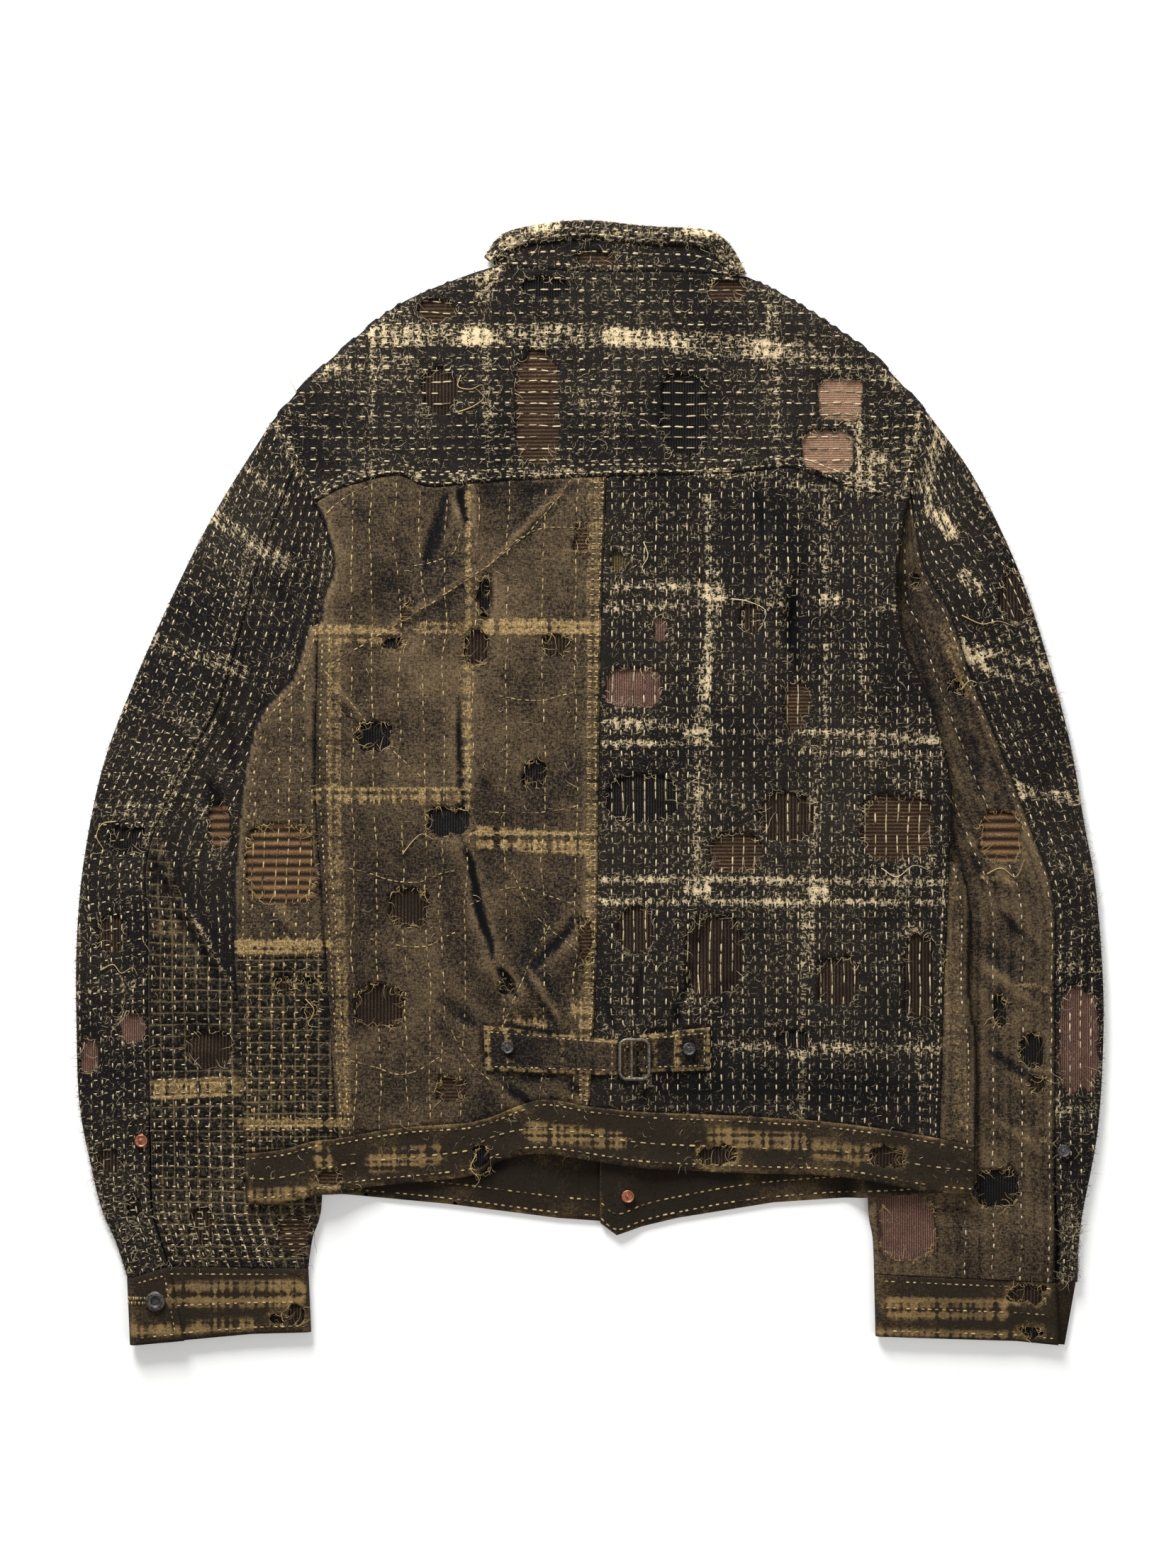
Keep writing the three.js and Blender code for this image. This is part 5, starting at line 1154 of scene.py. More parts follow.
def dressPanels():
    for name, panel in list(panels.items()):
        piece, used = clothPiece(f"{name}_cloth", panel, "boro", [name], restsOn.get(name, []))
        fields = attributesOf(panel, panel.grid[..., 0], panel.grid[..., 1])
        for field, values in fields.items():
            setField(piece, field, np.tile(values.ravel()[used], 2))
    print("panels dressed:", len(panels))


def spanOf(flags):
    found = np.flatnonzero(flags)
    return slice(found[0], found[-1] + 1)


# backing cloths: the panel's own points round a window, moved in
def dressWindows():
    patchCount = {}
    for window in windows:
        name = window["panel"]
        panel = panels[name]
        patchCount[name] = patchCount.get(name, 0) + 1
        node = f"patch_{name}_{patchCount[name]}"
        near = ((np.abs(panel.grid[..., 0] - window["x"]) < window["width"] / 2 + 4)
                & (np.abs(panel.grid[..., 1] - window["y"]) < window["height"] / 2 + 4) & (panel.up[..., 2] > 0.3))
        if near.sum() < 6:
            continue
        block = spanOf(near.any(1)), spanOf(near.any(0))
        grid, up = panel.grid[block].copy(), panel.up[block]
        deep = np.clip(inWindow(window, grid[..., 0], grid[..., 1]), 0, 6)
        grid += up * (worn["sink"] * np.exp(-deep / 2)[..., None] * 0.3 - worn["below"] + 0.06 * deep[..., None])
        grid[..., 2] += 0.25 * wander(grid[..., 0] * 2, grid[..., 1] * 2, 17)
        sheet = Panel(f"backing_{name}_{patchCount[name]}", grid, panel.edge[block] + 1.5, wall["patch"],
                      grid[..., :2].copy())
        sheet.up = up
        del panels[sheet.name]
        slot = "mauve_cotton" if window["cloth"] in ("mauve", "pink") else "brown_corduroy"
        nodes = [node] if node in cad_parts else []
        clothPiece(sheet.name, sheet, window["cloth"], nodes, [name])
    print("windows backed:", len(windows))


# stitches and yarns are many small shapes in one mesh for each panel
def stitchMesh(name, at, along, up, length, width, tint, material):
    side = np.cross(up, along)
    half = length[:, None] / 2
    rings = []
    for shift, rise in ((-0.55, 0.30), (0.55, 0.30)):
        middle = at + along * half * shift + up * 0.05
        rings += [middle + side * width[:, None] / 2, middle + up * (width[:, None] * (0.35 + rise)),
                  middle - side * width[:, None] / 2, middle - up * 0.45]
    ends = [at - along * half - up * 0.3, at + along * half - up * 0.3]
    points = np.stack([ends[0], *rings, ends[1]], 1)
    quad = np.array([(1 + k, 1 + (k + 1) % 4, 5 + (k + 1) % 4, 5 + k) for k in range(4)])
    triangle = np.array([(0, 1 + (k + 1) % 4, 1 + k) for k in range(4)]
                        + [(9, 5 + k, 5 + (k + 1) % 4) for k in range(4)])
    base = (np.arange(len(at)) * 10)[:, None, None]
    piece = newMesh(name, points.reshape(-1, 3), (quad[None] + base).reshape(-1, 4)[:, ::-1],
                    (triangle[None] + base).reshape(-1, 3)[:, ::-1], material)
    setField(piece, "tint", np.repeat(tint, 10))
    return piece


def strandMesh(name, paths, radius, tint, material):
    # three-sided yarns with a tapered tip; paths is strands by points by xyz
    count, steps = paths.shape[:2]
    along = np.gradient(paths, axis=1)
    along /= np.linalg.norm(along, axis=2, keepdims=True) + 1e-9
    side = np.cross(along, np.array([0.13, 0.21, 0.97]))
    side /= np.linalg.norm(side, axis=2, keepdims=True) + 1e-9
    over = np.cross(side, along)
    taper = np.linspace(1, 0.25, steps)[None, :, None]
    rings = [paths + (side * math.cos(turn) + over * math.sin(turn)) * radius[:, None, None] * taper
             for turn in (0.5, 2.6, 4.7)]
    points = np.stack(rings, 2).reshape(-1, 3)
    base = (np.arange(count) * steps * 3)[:, None, None]
    quads = [(3 * j + k, 3 * j + (k + 1) % 3, 3 * j + 3 + (k + 1) % 3, 3 * j + 3 + k)
             for j in range(steps - 1) for k in range(3)]
    last = 3 * (steps - 1)
    caps = [(2, 1, 0), (last, last + 1, last + 2)]
    piece = newMesh(name, points, (np.array(quads)[None] + base).reshape(-1, 4),
                    (np.array(caps)[None] + base).reshape(-1, 3), material)
    setField(piece, "tint", np.repeat(tint, steps * 3))
    return piece


lookAhead = 0.8  # how far on a stitch looks for its direction


def pointsAt(at, run, line):
    return np.stack([np.interp(at, run, line[:, k]) for k in range(line.shape[1])], 1)


def evenly(line, pitch):
    # places and directions along a line, unevenly spaced as by hand
    run = np.r_[0, np.cumsum(np.linalg.norm(np.diff(line, axis=0), axis=1))]
    at = np.arange(pitch * 0.5, run[-1], pitch)
    at = at + dice.normal(0, 0.07 * pitch, len(at))
    return pointsAt(at, run, line), pointsAt(at + lookAhead, run, line)


sewing = {}


def addStitches(group, at, along, up, length, width):
    count = len(at)
    kept = dice.random(count) > 0.06
    fresh = (at, along, up, length * dice.normal(1, 0.13, count), width * dice.normal(1, 0.14, count),
             np.clip(dice.normal(0.6, 0.24, count), 0.05, 1))
    sewing.setdefault(group, []).append([values[kept] for values in fresh])


def overWindow(name, x, y):
    # 0 on the cloth, 1 in a window that is sewn over, 2 in an open one
    found = np.zeros(len(x), int)
    for window in windowsOf(name):
        within = inWindow(window, x, y) > 0
        found[within] = 1 if window["sewn"] else 2
    return found


def sewPlan(group, name, line, pitch, length, width):
    # running stitch along a plan line on a body panel
    panel = panels[name]
    place, onward = evenly(np.asarray(line, float), pitch)
    spots = []
    for points in (place, onward):
        i, j = (points[:, 0] - panel.low[0]) / panel.cell, (panel.high[1] - points[:, 1]) / panel.cell
        spots.append(panel.sample(j, i))
    (at, up), (nextAt, _) = spots
    at = np.column_stack([place, at[:, 2]])
    heading = np.column_stack([onward, nextAt[:, 2]]) - at
    heading /= np.linalg.norm(heading, axis=1, keepdims=True) + 1e-9
    where = overWindow(name, place[:, 0], place[:, 1])
    at[:, 2] -= np.where(where == 1, worn["below"] - 0.5, 0)
    good = (pastOutline(place[:, 0], place[:, 1], panel.outline) < -1.2) & (where < 2)
    addStitches(group, at[good], heading[good], up[good], length * np.where(where[good] == 1, 1.55, 1.0), width)


def swayed(line, amount, length=60):
    line = np.asarray(line, float)
    shift = amount * wander(line[:, 0], line[:, 1], length)
    shift2 = amount * wander(line[:, 1] + 70, line[:, 0] - 40, length)
    return line + np.stack([shift, shift2], 1)


pulledThreads = [
    [(-13, 214), (-44, 176), (-74, 152), (-110, 128), (-150, 104), (-188, 80)],
    [(-190, 82), (-168, 56), (-146, 30), (-120, 4)], [(-74, 152), (-40, 178), (-12, 180)],
    [(-190, 186), (-168, 204), (-150, 212)], [(-170, -60), (-130, -70), (-96, -62)],
    [(-86, -86), (-52, -74), (-12, -86)], [(-56, -60), (-40, -92), (-8, -118)],
    [(-130, 152), (-100, 160), (-92, 176)], [(-66, 62), (-36, 58), (-10, 64)], [(-72, -20), (-40, -22), (-8, -16)],
    [(-160, -110), (-120, -116), (-96, -106)], [(-60, -170), (-44, -130), (-28, -100)],
    [(-100, -170), (-86, -196), (-70, -210)], [(-168, -196), (-130, -206), (-104, -192)],
]


def sewBody():
    pitch = stitchPitch["yoke"]
    for k in range(int(360 / pitch)):
        y = 4.0 + pitch * k
        if 196 < y < 362:
            x = np.arange(-225, 236, 6.0)
            sewPlan("yoke", "back_yoke", np.stack([x, y - 1.4 * wander(x, y + 0 * x, 60)], 1), 8.6, 4.7, 1.05)
    pitch = stitchPitch["right"]
    for k in range(int(270 / pitch)):
        x0 = pitch * k
        if x0 > 14:
            y = np.arange(222, -252, -6.0)
            sewPlan("right", "back_right", np.stack([x0 - 1.4 * wander(x0 + 0 * y, y, 60), y], 1), 7.6, 5.2, 0.98)
    for top, low in ((-168, -166), (-155, -148), (-138, -128), (-120, -112), (-102, -104), (-79, -92), (-57, -62),
                     (-32, -34), (-9, -12)):
        y = np.arange(214, -250, -6.0)
        line = np.stack([top + (low - top) * (214 - y) / 460, y], 1)
        sewPlan("left", "back_left", swayed(line, 3.0, 80), 6.2, 4.7, 0.9)
    for x0 in (-236, -228, -219, -211, -203, -195):
        y = np.arange(105, -262, -6.0)
        sewPlan("left", "side_left", swayed(np.stack([x0 + 0.03 * y, y], 1), 1.5), 7.2, 4.0, 1.15)
    for y0 in np.arange(-128, -258, -8.3):
        x = np.arange(-252, -176, 4.0)
        sewPlan("left", "side_left", swayed(np.stack([x, y0 + 0 * x], 1), 1.0), 8.3, 3.6, 1.15)
    y = np.arange(212, -226, -3.6)
    centre = np.interp(-y, -lines["centreSeam"][:, 1], lines["centreSeam"][:, 0])
    for k in range(len(y)):
        tick = np.array([(centre[k] - 9.5, y[k]), (centre[k] - 1.5, y[k] - 0.4)])
        sewPlan("left", "back_left", np.vstack([tick[0], tick.mean(0), tick[1]]), 4.4, 3.4, 0.8)
    for line in pulledThreads:
        sewPlan("left", "back_left", swayed(curve(line, 3.0), 1.2, 40), 4.6, 4.1, 0.75)
    print("running stitches sewn")


def offsetLine(name, inward):
    line = lines[name]
    along = np.gradient(line, axis=0)
    along /= np.linalg.norm(along, axis=1, keepdims=True)
    return line + np.stack([-along[:, 1], along[:, 0]], 1) * inward


def sewSeams():
    seamRows = rows("panel edge inward pitch group", [
        ("back_yoke", "yokeSeamLeft", 3, 5.4, "yoke"), ("back_yoke", "yokeSeamRight", 3, 5.4, "yoke"),
        ("back_yoke", "yokeSeamLeft", 8.5, 5.4, "yoke"), ("back_yoke", "yokeSeamRight", 8.5, 5.4, "yoke"),
        ("back_yoke", "armholeLeft", 3.5, 5.4, "yoke"), ("back_yoke", "armholeRight", -3.5, 5.4, "yoke"),
        ("back_left", "sideSeamLeft", 3.2, 4.4, "left"), ("back_left", "sideSeamLeft", 8.2, 4.4, "left"),
        ("back_left", "centreSeam", -2.2, 4.4, "left"), ("back_right", "sideSeamRight", -3, 4.6, "right"),
        ("side_left", "sideEdgeLeft", 7, 5.2, "left"), ("side_right", "sideEdgeRight", -6.5, 5.2, "right"),
        ("hem_back", "sideHemLeft", -4, 5.0, "hem"), ("hem_back", "backHemLeft", -4, 5.0, "hem"),
        ("hem_back", "backHemRight", -4, 5.0, "hem"), ("hem_back", "sideHemRight", -4, 5.0, "hem"),
        ("hem_back", "hemEdge", 5, 5.4, "hem"), ("hem_back", "hemEdge", 18, 7.2, "hem"),
    ])
    for row in seamRows:
        line = offsetLine(row["edge"], row["inward"])
        sewPlan(row["group"], row["panel"], line, row["pitch"], 0.62 * row["pitch"], 1.1)
    for name, corners in straps.items():
        ring = np.array([*corners, corners[0]], float)
        middle = ring[:-1].mean(0)
        ring = middle + (ring - middle) * (1 - 8.4 / np.ptp(ring, axis=0))
        for a, b in zip(ring[:-1], ring[1:]):
            sewPlan("hem", name, curve([a, b], 3.0), 4.2, 2.7, 0.95)
    for name, edge in (("hem_front_left", "frontHemLeft"), ("hem_front_right", "frontHemRight")):
        line = np.array(edges[edge], float)
        for inward in (4, 15):
            sewPlan("hem", name, curve(line + (0, inward), 4.0), 5.4, 3.4, 1.1)
    print("seams topstitched")


def sewGrid(group, name, path, pitch, length, width):
    # running stitch along a path given in grid places
    panel = panels[name]
    dense = pointsAt(np.linspace(0, len(path) - 1, 4 * len(path)), np.arange(len(path)), path)
    at, up = panel.sample(dense[:, 0], dense[:, 1])
    line = np.column_stack([at, up])
    run = np.r_[0, np.cumsum(np.linalg.norm(np.diff(at, axis=0), axis=1))]
    places = np.arange(pitch / 2, run[-1], pitch)
    places = places + dice.normal(0, 0.07 * pitch, len(places))
    here = pointsAt(places, run, line)
    heading = pointsAt(places + lookAhead, run, line)[:, :3] - here[:, :3]
    reach = np.linalg.norm(heading, axis=1)
    heading /= reach[:, None] + 1e-9
    where = overWindow(name, here[:, 0], here[:, 1])
    good = (where < 2) & (reach > 0.2)
    here[:, :3] -= here[:, 3:] * np.where(where == 1, worn["below"] - 0.5, 0)[:, None]
    longer = length * np.where(where[good] == 1, 1.5, 1.0)
    addStitches(group, here[good, :3], heading[good], here[good, 3:], longer, width)


buttonhole = {"x": -319, "y": -365, "half": 6.5, "lip": 1.7, "count": 11}


def sewButtonhole():
    shift = np.linspace(-buttonhole["half"], buttonhole["half"], buttonhole["count"])
    for side in (-1, 1):
        x, y = buttonhole["x"] + shift, buttonhole["y"] + side * buttonhole["lip"] + 0 * shift
        panel = panels["cuff_left"]
        at, up = panel.sample(*panel.nearest(x, y))
        at = np.column_stack([x, y, at[:, 2]])
        addStitches("hem", at, np.tile([0.0, 1.0, 0.0], (len(x), 1)), up, 2.8, 1.0)


def sewSleeves():
    count = sleeveCut["rows"]
    rowsDown = np.linspace(0, count - 1.01, 120)
    for side in sleeves:
        at = station(sleeves[side], np.linspace(0, 1, count))
        for half in ("outer", "inner"):
            name = f"sleeve_{side}_{half}"
            end = np.stack([at[half + "X"], at[half + "Y"]], 1)
            length = np.linalg.norm(end - np.stack([at["seamX"], at["seamY"]], 1), axis=1) - 4
            dense = half == "outer" or side == "left"
            pitch = stitchPitch["sleeve"] * (1 if dense else 2.6)
            reach = 66 if half == "outer" else 84
            for k in range(int(reach / pitch)):
                s = 3.2 + pitch * k
                column = s / np.interp(rowsDown, np.arange(count), length) * (sleeveCut[half] - 1)
                column = column + 0.5 * wander(rowsDown * 2.4, s + 0 * rowsDown, 60)
                inside = column < sleeveCut[half] + 1
                runs = np.split(np.flatnonzero(inside), np.flatnonzero(np.diff(np.flatnonzero(inside)) > 1) + 1)
                for run in runs:
                    if len(run) > 4:
                        path = np.stack([rowsDown[run], column[run]], 1)
                        sewGrid("sleeve_" + side, name, path, 7.4, 4.0, 0.95)
            if side == "left":
                for j in np.arange(140 if half == "inner" else 20, count - 4, 3.6):
                    column = np.linspace(1, sleeveCut[half] - 2, 30)
                    sewGrid("sleeve_" + side, name, np.stack([j + 0 * column, column], 1), 8.4, 3.2, 0.8)
    for side in ("left", "right"):
        panel = panels[f"cuff_{side}"]
        rowCount, columnCount = panel.grid.shape[:2]
        top = 46 if side == "left" else 50
        for j in (2.0, rowCount - 3.0, rowCount * 0.5):
            path = np.stack([np.full(40, j), np.linspace(1, top - 2, 40)], 1)
            sewGrid("hem", f"cuff_{side}", path, 5.0, 3.2, 1.05)
        if side == "left":
            for j in (2.0, rowCount - 3.0):
                path = np.stack([np.full(20, j), np.linspace(columnCount - 13, columnCount - 3, 20)], 1)
                sewGrid("hem", "cuff_left", path, 4.0, 2.6, 1.0)
            path = np.stack([np.linspace(2, rowCount - 3, 20), np.full(20, columnCount - 3.0)], 1)
            sewGrid("hem", "cuff_left", path, 4.0, 2.6, 1.0)
    stations = np.linspace(2, collar["stations"] - 3, 100)
    for column in (1.5, 5.0, 8.0):
        sewGrid("yoke", "collar_stand", np.stack([stations, np.full(100, column)], 1), 7.4, 4.4, 1.3)
    for column in (1.6, 4.2, 7.5):
        sewGrid("yoke", "collar_fall", np.stack([stations, np.full(100, column)], 1), 7.0, 4.2, 1.3)
    print("sleeves, cuffs and collar stitched")


threads = {
    "yoke": ("cream", "boro_check"), "right": ("cream", "boro_check"), "left": ("gold", "olive_cotton"),
    "hem": ("gold", "black_twill"), "sleeve_left": ("cream", "boro_check"), "sleeve_right": ("cream", "boro_check"),
}


def dressStitches():
    total = 0
    for group, runs in sewing.items():
        at, along, up, length, width, tint = (np.concatenate([run[k] for run in runs]) for k in range(6))
        material, slot = threads[group]
        stitchMesh(f"stitches_{group}", at, along, up, length, width, tint, material)
        total += len(at)
    print("stitches made:", total)


# loose fibres: curled ends round every window, lint on the napped cloth, and a fringe along the outline
def curled(root, heading, length, curl, steps=5):
    count = len(root)
    turn = dice.normal(0, curl, count)
    angle = np.arctan2(heading[:, 1], heading[:, 0])
    points = [root]
    for k in range(1, steps):
        angle = angle + turn + dice.normal(0, curl * 0.7, count)
        move = np.stack([np.cos(angle), np.sin(angle), dice.normal(0.1 if k < 3 else -0.1, 0.22, count)], 1)
        points.append(points[-1] + move * (length / (steps - 1))[:, None])
    return np.stack(points, 1)


def dressFrays():
    frays = {"gold": [], "lint": []}
    for window in windows:
        panel = panels[window["panel"]]
        plain = window["panel"].startswith(("back_left", "side", "hem", "cuff", "sleeve_right_inner"))
        count = int((0.95 if plain else 0.6) * (window["width"] + window["height"]))
        turn = dice.uniform(0, 2 * math.pi, count)
        power = 2 / worn["squareness"]
        offX = np.sign(np.cos(turn)) * np.abs(np.cos(turn)) ** power * window["width"] / 2
        offY = np.sign(np.sin(turn)) * np.abs(np.sin(turn)) ** power * window["height"] / 2
        at, up = panel.sample(*panel.nearest(window["x"] + offX * 1.02, window["y"] + offY * 1.02))
        at = np.column_stack([at[:, :2], at[:, 2] + 0.25])
        heading = np.column_stack([-offX, -offY]) + dice.normal(0, 7, (count, 2))
        path = curled(at, heading, dice.gamma(3.0, 1.7, count) + 1.5, 0.5, 6)
        fresh = path, dice.uniform(0.13, 0.3, count), dice.uniform(0.2, 0.9, count)
        frays["gold" if plain else "lint"].append(fresh)
    for material, runs in frays.items():
        path, radius, tint = (np.concatenate([run[k] for run in runs]) for k in range(3))
        strandMesh(f"frayed_ends_{material}", path, radius, tint, material)
    print("windows frayed")


lint = rows("panel count", [
    ("back_yoke", 1500), ("back_right", 1700), ("sleeve_left_outer", 800), ("sleeve_right_outer", 800),
    ("sleeve_left_inner", 600), ("back_left", 260), ("side_left", 220), ("collar_fall", 240), ("hem_back", 160),
    ("collar_stand", 160),
])
fringe = {"edge": 90, "sleeve": 420, "low": 4.0, "high": 8.0, "middle": (10.0, 120.0), "clear": 0.4}


def dressLint():
    paths = []
    for row in lint:
        panel = panels[row["panel"]]
        good = np.flatnonzero((panel.past.ravel() < -1) & (panel.up.reshape(-1, 3)[:, 2] > 0.4))
        pick = dice.choice(good, row["count"])
        root = panel.grid.reshape(-1, 3)[pick] + dice.normal(0, 0.8, (row["count"], 3)) * (1, 1, 0)
        root = root + panel.up.reshape(-1, 3)[pick] * 0.2
        heading = dice.normal(0, 1, (row["count"], 2))
        paths.append(curled(root, heading, dice.gamma(3.0, 1.5, row["count"]) + 1.0, 0.6, 5))
    paths = np.concatenate(paths)
    radius = dice.uniform(0.1, 0.22, len(paths))
    tint = np.clip(dice.normal(0.55, 0.25, len(paths)), 0, 1)
    strandMesh("surface_lint", paths, radius, tint, "lint")
    paths = []
    for name in ("shoulderLeft", "shoulderRight", "collarEdge"):
        line, count = lines[name], fringe["edge"]
        pick = dice.integers(0, len(line), count)
        z = fringe["low"] + dice.uniform(0, fringe["high"] - fringe["low"], count)
        heading = line[pick] - np.array(fringe["middle"])
        paths.append(curled(np.column_stack([line[pick], z]), heading, dice.gamma(2.5, 0.9, count) + 0.8, 0.5, 5))
    for side in sleeves:
        panel = panels[f"sleeve_{side}_outer"]
        column = sleeveCut["outer"] + 2
        count = fringe["sleeve"]
        pick = dice.integers(2, sleeveCut["rows"] - 3, count)
        root, up = panel.grid[pick, column], panel.up[pick, column]
        paths.append(curled(root, up[:, :2], dice.gamma(2.2, 0.8, count) + 0.6, 0.5, 5))
    paths = np.concatenate(paths)
    paths[..., 2] = np.maximum(paths[..., 2], fringe["clear"])
    radius, tint = dice.uniform(0.1, 0.2, len(paths)), dice.uniform(0.2, 0.8, len(paths))
    strandMesh("outline_lint", paths, radius, tint, "lint")
    print("lint strewn")


looseYarns = rows("panel points colour", [
    ("back_yoke", [(-207, 276), (-211, 284), (-206, 290), (-201, 286), (-196, 288)], "cream"),
    ("sleeve_left_outer", [(-334, -27), (-344, -29), (-348, -38), (-343, -48), (-351, -50)], "gold"),
    ("back_yoke", [(-91, 288), (-93, 280), (-84, 278), (-76, 281), (-74, 274)], "gold"),
    ("back_yoke", [(-92, 262), (-82, 266), (-75, 272), (-80, 278)], "gold"),
    ("back_right", [(38, 170), (41, 160), (37, 152), (40, 146)], "cream"),
    ("sleeve_right_outer", [(262, 118), (276, 112), (288, 114), (300, 110)], "gold"),
    ("sleeve_left_outer", [(-345, -132), (-336, -128), (-330, -134), (-322, -130), (-318, -136)], "gold"),
    ("back_left", [(-132, -50), (-124, -40), (-118, -36), (-110, -40)], "gold"),
    ("hem_back", [(-80, -262), (-84, -272), (-78, -280), (-82, -286)], "gold"),
    ("back_right", [(100, 130), (112, 128), (124, 121), (120, 108)], "cream"),
    ("side_left", [(-200, -152), (-194, -160), (-198, -170), (-190, -172)], "gold"),
    ("sleeve_right_inner", [(262, 66), (268, 72), (276, 70), (284, 76)], "gold"),
    ("back_right", [(205, -60), (216, -66), (228, -58), (240, -62)], "cream"),
    ("sleeve_right_inner", [(280, -64), (290, -60), (300, -66), (306, -54)], "gold"),
])


def dressLooseYarns():
    for k, row in enumerate(looseYarns):
        panel = panels[row["panel"]]
        line = curve(row["points"], 1.2)
        j, i = panel.nearest(line[:, 0], line[:, 1])
        at, up = panel.sample(j, i)
        z = np.convolve(np.pad(at[:, 2], 4, "edge"), np.ones(9) / 9, "valid") + 1.0
        path = np.column_stack([line, z])[None]
        strandMesh(f"loose_yarn_{k + 1}", path, np.array([0.42]), np.array([0.9]), row["colour"])
    print("loose yarns:", len(looseYarns))


# metal fittings, modelled from primitives where the frame has them
def deselect():
    if bpy.context.object and bpy.context.object.mode != "OBJECT":
        bpy.ops.object.mode_set(mode="OBJECT")
    bpy.ops.object.select_all(action="DESELECT")


def facesAbove(limit):
    # selects the faces of the mesh being edited whose middle is above a height
    bpy.ops.mesh.select_all(action="DESELECT")
    bpy.ops.object.mode_set(mode="OBJECT")
    for face in bpy.context.object.data.polygons:
        face.select = face.center.z > limit and face.normal.z > 0.9
    bpy.ops.object.mode_set(mode="EDIT")
    bpy.ops.mesh.select_mode(type="FACE")


def settle(name, node, material):
    # the piece's place goes into its mesh
    piece = bpy.context.object
    piece.name = piece.data.name = name
    bpy.ops.object.transform_apply(location=True, rotation=True, scale=True)
    piece.data.materials.clear()
    piece.data.materials.append(finishes[material])
    bpy.ops.object.shade_smooth_by_angle(angle=math.radians(40))
    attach(piece, "root")
    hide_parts(node)
    return piece


rivetShape = {"radius": 4.5, "height": 2.2, "rim": 0.7, "dish": 0.6, "pip": 1.5}
rivets = rows("node panel material", [
    ("rivet_cinch_left", "cinch_strap_left", "gunmetal"), ("rivet_cinch_right", "cinch_strap_right", "gunmetal"),
    ("rivet_vent_left", "sleeve_left_outer", "copper"), ("rivet_vent_right", "sleeve_right_outer", "gunmetal"),
    ("rivet_front", "hem_front_right", "copper"),
])


def seatOf(node, panelName):
    # middle of a fitting in the frame, and the height of the dressed cloth there
    low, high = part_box(node)
    middle = (low + high) / 2
    panel = panels[panelName]
    at, _ = panel.sample(*panel.nearest([middle.x / mm], [middle.y / mm]))
    return middle, max(low.z, float(at[0, 2]) * mm) - 0.2 * mm


def makeRivet(node, panelName, material):
    place, base = seatOf(node, panelName)
    deselect()
    height = rivetShape["height"] * mm
    bpy.ops.mesh.primitive_cylinder_add(vertices=40, radius=rivetShape["radius"] * mm, depth=height,
                                        location=(place.x, place.y, base + height / 2))
    bpy.ops.object.mode_set(mode="EDIT")
    facesAbove(height * 0.4)
    bpy.ops.mesh.inset(thickness=rivetShape["rim"] * mm)
    bpy.ops.transform.translate(value=(0, 0, 0.35 * mm))
    bpy.ops.mesh.inset(thickness=rivetShape["rim"] * mm)
    bpy.ops.transform.translate(value=(0, 0, -rivetShape["dish"] * mm))
    bpy.ops.mesh.inset(thickness=(rivetShape["radius"] - 2 * rivetShape["rim"] - rivetShape["pip"]) * mm)
    bpy.ops.mesh.extrude_region_move(TRANSFORM_OT_translate={"value": (0, 0, rivetShape["dish"] * mm)})
    bpy.ops.mesh.inset(thickness=0.5 * mm)
    bpy.ops.transform.translate(value=(0, 0, 0.3 * mm))
    bpy.ops.object.mode_set(mode="OBJECT")
    bevel = bpy.context.object.modifiers.new("softEdge", "BEVEL")
    bevel.width, bevel.segments, bevel.limit_method = 0.25 * mm, 2, "ANGLE"
    bpy.ops.object.modifier_apply(modifier="softEdge")
    settle(node + "_head", node, material)


buttonShape = {"ring": 4.9, "tube": 2.25, "flatten": 0.72, "plate": 5.0}


def makeButton():
    place, base = seatOf("cuff_button", "cuff_left")
    deselect()
    middle = base + buttonShape["tube"] * buttonShape["flatten"] * mm
    bpy.ops.mesh.primitive_torus_add(major_radius=buttonShape["ring"] * mm, minor_radius=buttonShape["tube"] * mm,
                                     major_segments=48, minor_segments=16, location=(place.x, place.y, middle))
    ring = bpy.context.object
    ring.scale = (1, 1, buttonShape["flatten"])
    bpy.ops.object.mode_set(mode="EDIT")
    bpy.ops.mesh.primitive_cylinder_add(vertices=40, radius=buttonShape["plate"] * mm, depth=0.9 * mm,
                                        location=(place.x, place.y, base + 0.6 * mm))
    bpy.ops.object.mode_set(mode="OBJECT")
    settle("cuff_button_ring", "cuff_button", "gunmetal")


buckleShape = {"wire": 1.25, "corner": 5.0, "bar": 1.0}


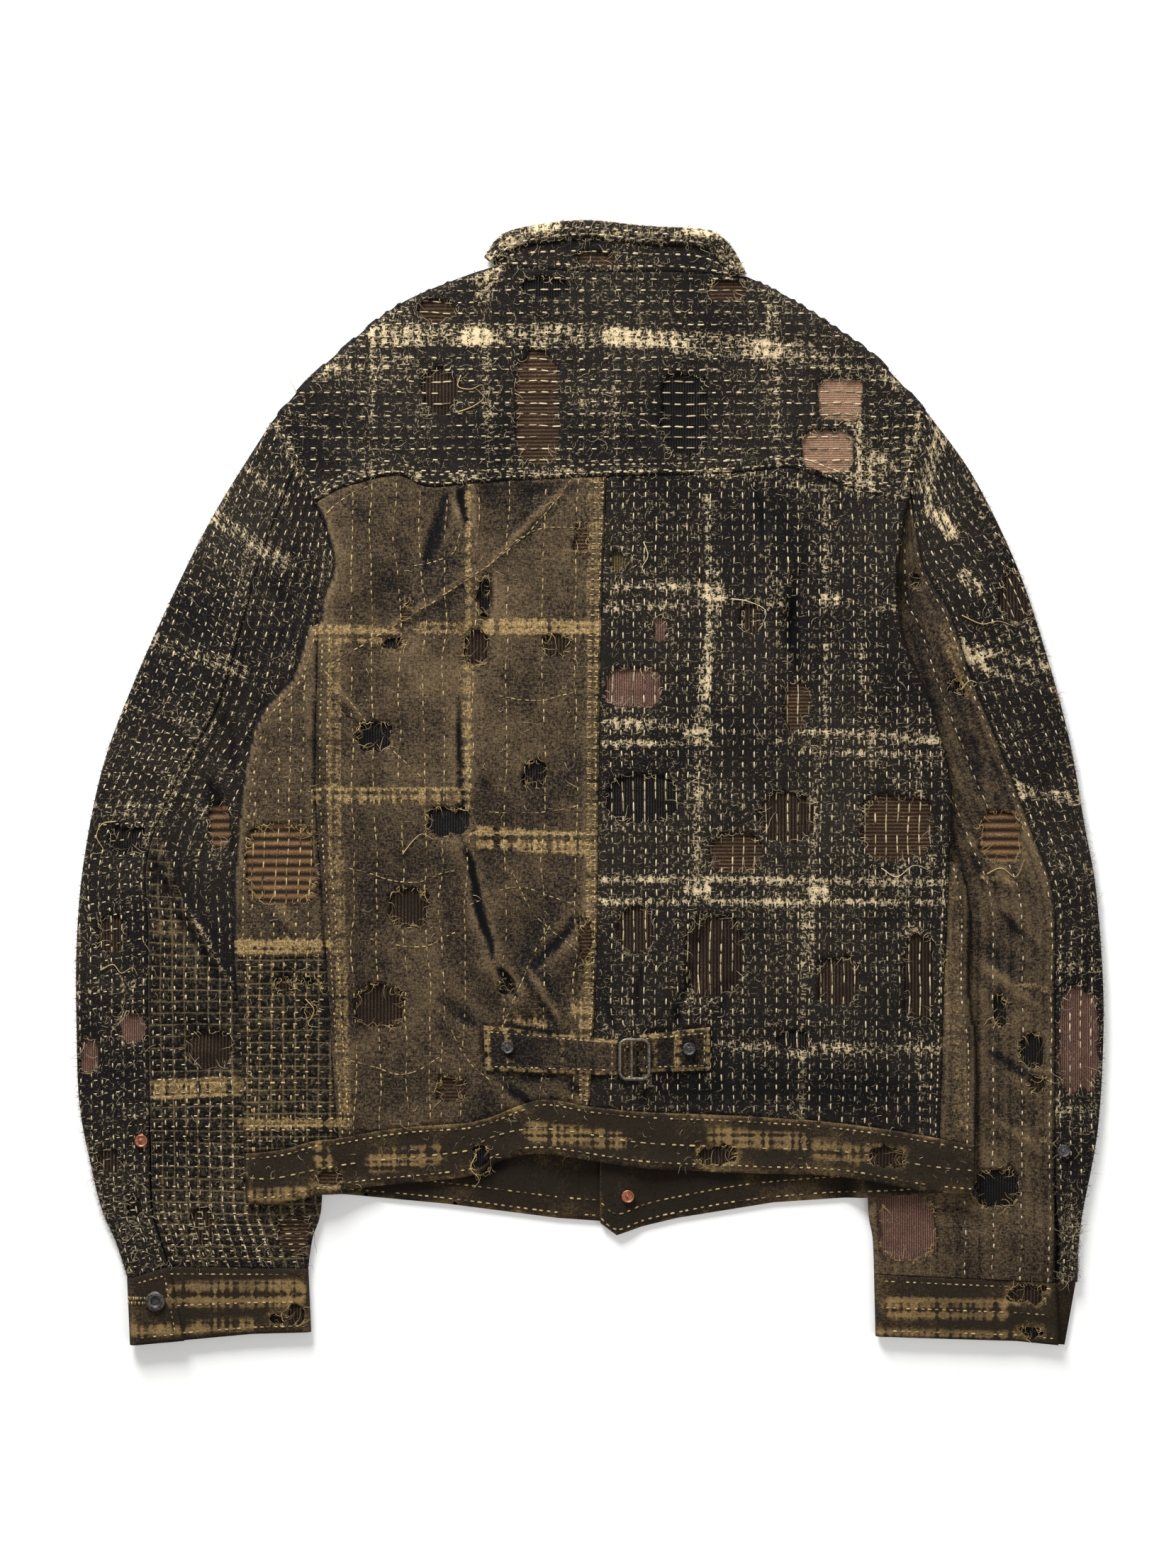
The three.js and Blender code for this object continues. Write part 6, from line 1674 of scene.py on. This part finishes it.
def makeBuckle():
    low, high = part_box("cinch_buckle")
    middle, size = (low + high) / 2, high - low
    base = seatOf("cinch_buckle", "cinch_tail")[1]
    wireRadius = buckleShape["wire"] * mm
    deselect()
    bpy.ops.mesh.primitive_plane_add(size=1.0, location=(middle.x, middle.y, base + wireRadius))
    bpy.context.object.scale = (size.x - 2 * wireRadius, size.y - 2 * wireRadius, 1)
    bpy.ops.object.transform_apply(location=True, rotation=True, scale=True)
    bpy.ops.object.mode_set(mode="EDIT")
    bpy.ops.mesh.select_all(action="SELECT")
    bpy.ops.mesh.bevel(affect="VERTICES", offset=buckleShape["corner"] * mm, segments=7)
    bpy.ops.mesh.delete(type="ONLY_FACE")
    bpy.ops.object.mode_set(mode="OBJECT")
    bpy.ops.object.convert(target="CURVE")
    bend = bpy.context.object.data
    bend.dimensions, bend.fill_mode = "3D", "FULL"
    bend.bevel_depth, bend.bevel_resolution = wireRadius, 3
    bpy.ops.object.convert(target="MESH")
    bpy.ops.object.mode_set(mode="EDIT")
    bpy.ops.mesh.primitive_cylinder_add(vertices=14, radius=buckleShape["bar"] * mm, depth=size.y - 3 * mm,
                                        location=(middle.x - 2 * mm, middle.y, base + 1.4 * mm),
                                        rotation=(math.pi / 2, 0, 0))
    bpy.ops.mesh.select_all(action="SELECT")
    bpy.ops.mesh.normals_make_consistent(inside=False)
    bpy.ops.object.mode_set(mode="OBJECT")
    settle("cinch_buckle_wire", "cinch_buckle", "wire")


def makeFloor():
    bpy.ops.object.select_all(action="DESELECT")
    bpy.ops.mesh.primitive_plane_add(size=8.0, location=(0, 0, -0.0006))
    floor = bpy.context.object
    floor.name = "paleFloor"
    floor.data.materials.append(floorFinish())
    floor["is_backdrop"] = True


makeStage()
makeFinishes()
makeBody()
makeFronts()
for side in sleeves:
    for half in ("outer", "inner"):
        makeSleeve(side, half)
    makeCuff(side)
makeCollar()
makeStraps()
dressPanels()
dressWindows()
sewBody()
sewSeams()
sewSleeves()
sewButtonhole()
dressStitches()
dressFrays()
dressLint()
dressLooseYarns()
for rivet in rivets:
    makeRivet(rivet["node"], rivet["panel"], rivet["material"])
makeButton()
makeBuckle()
makeFloor()
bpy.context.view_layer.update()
meshes = [piece.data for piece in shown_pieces() if piece.type == "MESH"]
print("triangles:", sum(len(face.vertices) - 2 for mesh in meshes for face in mesh.polygons))
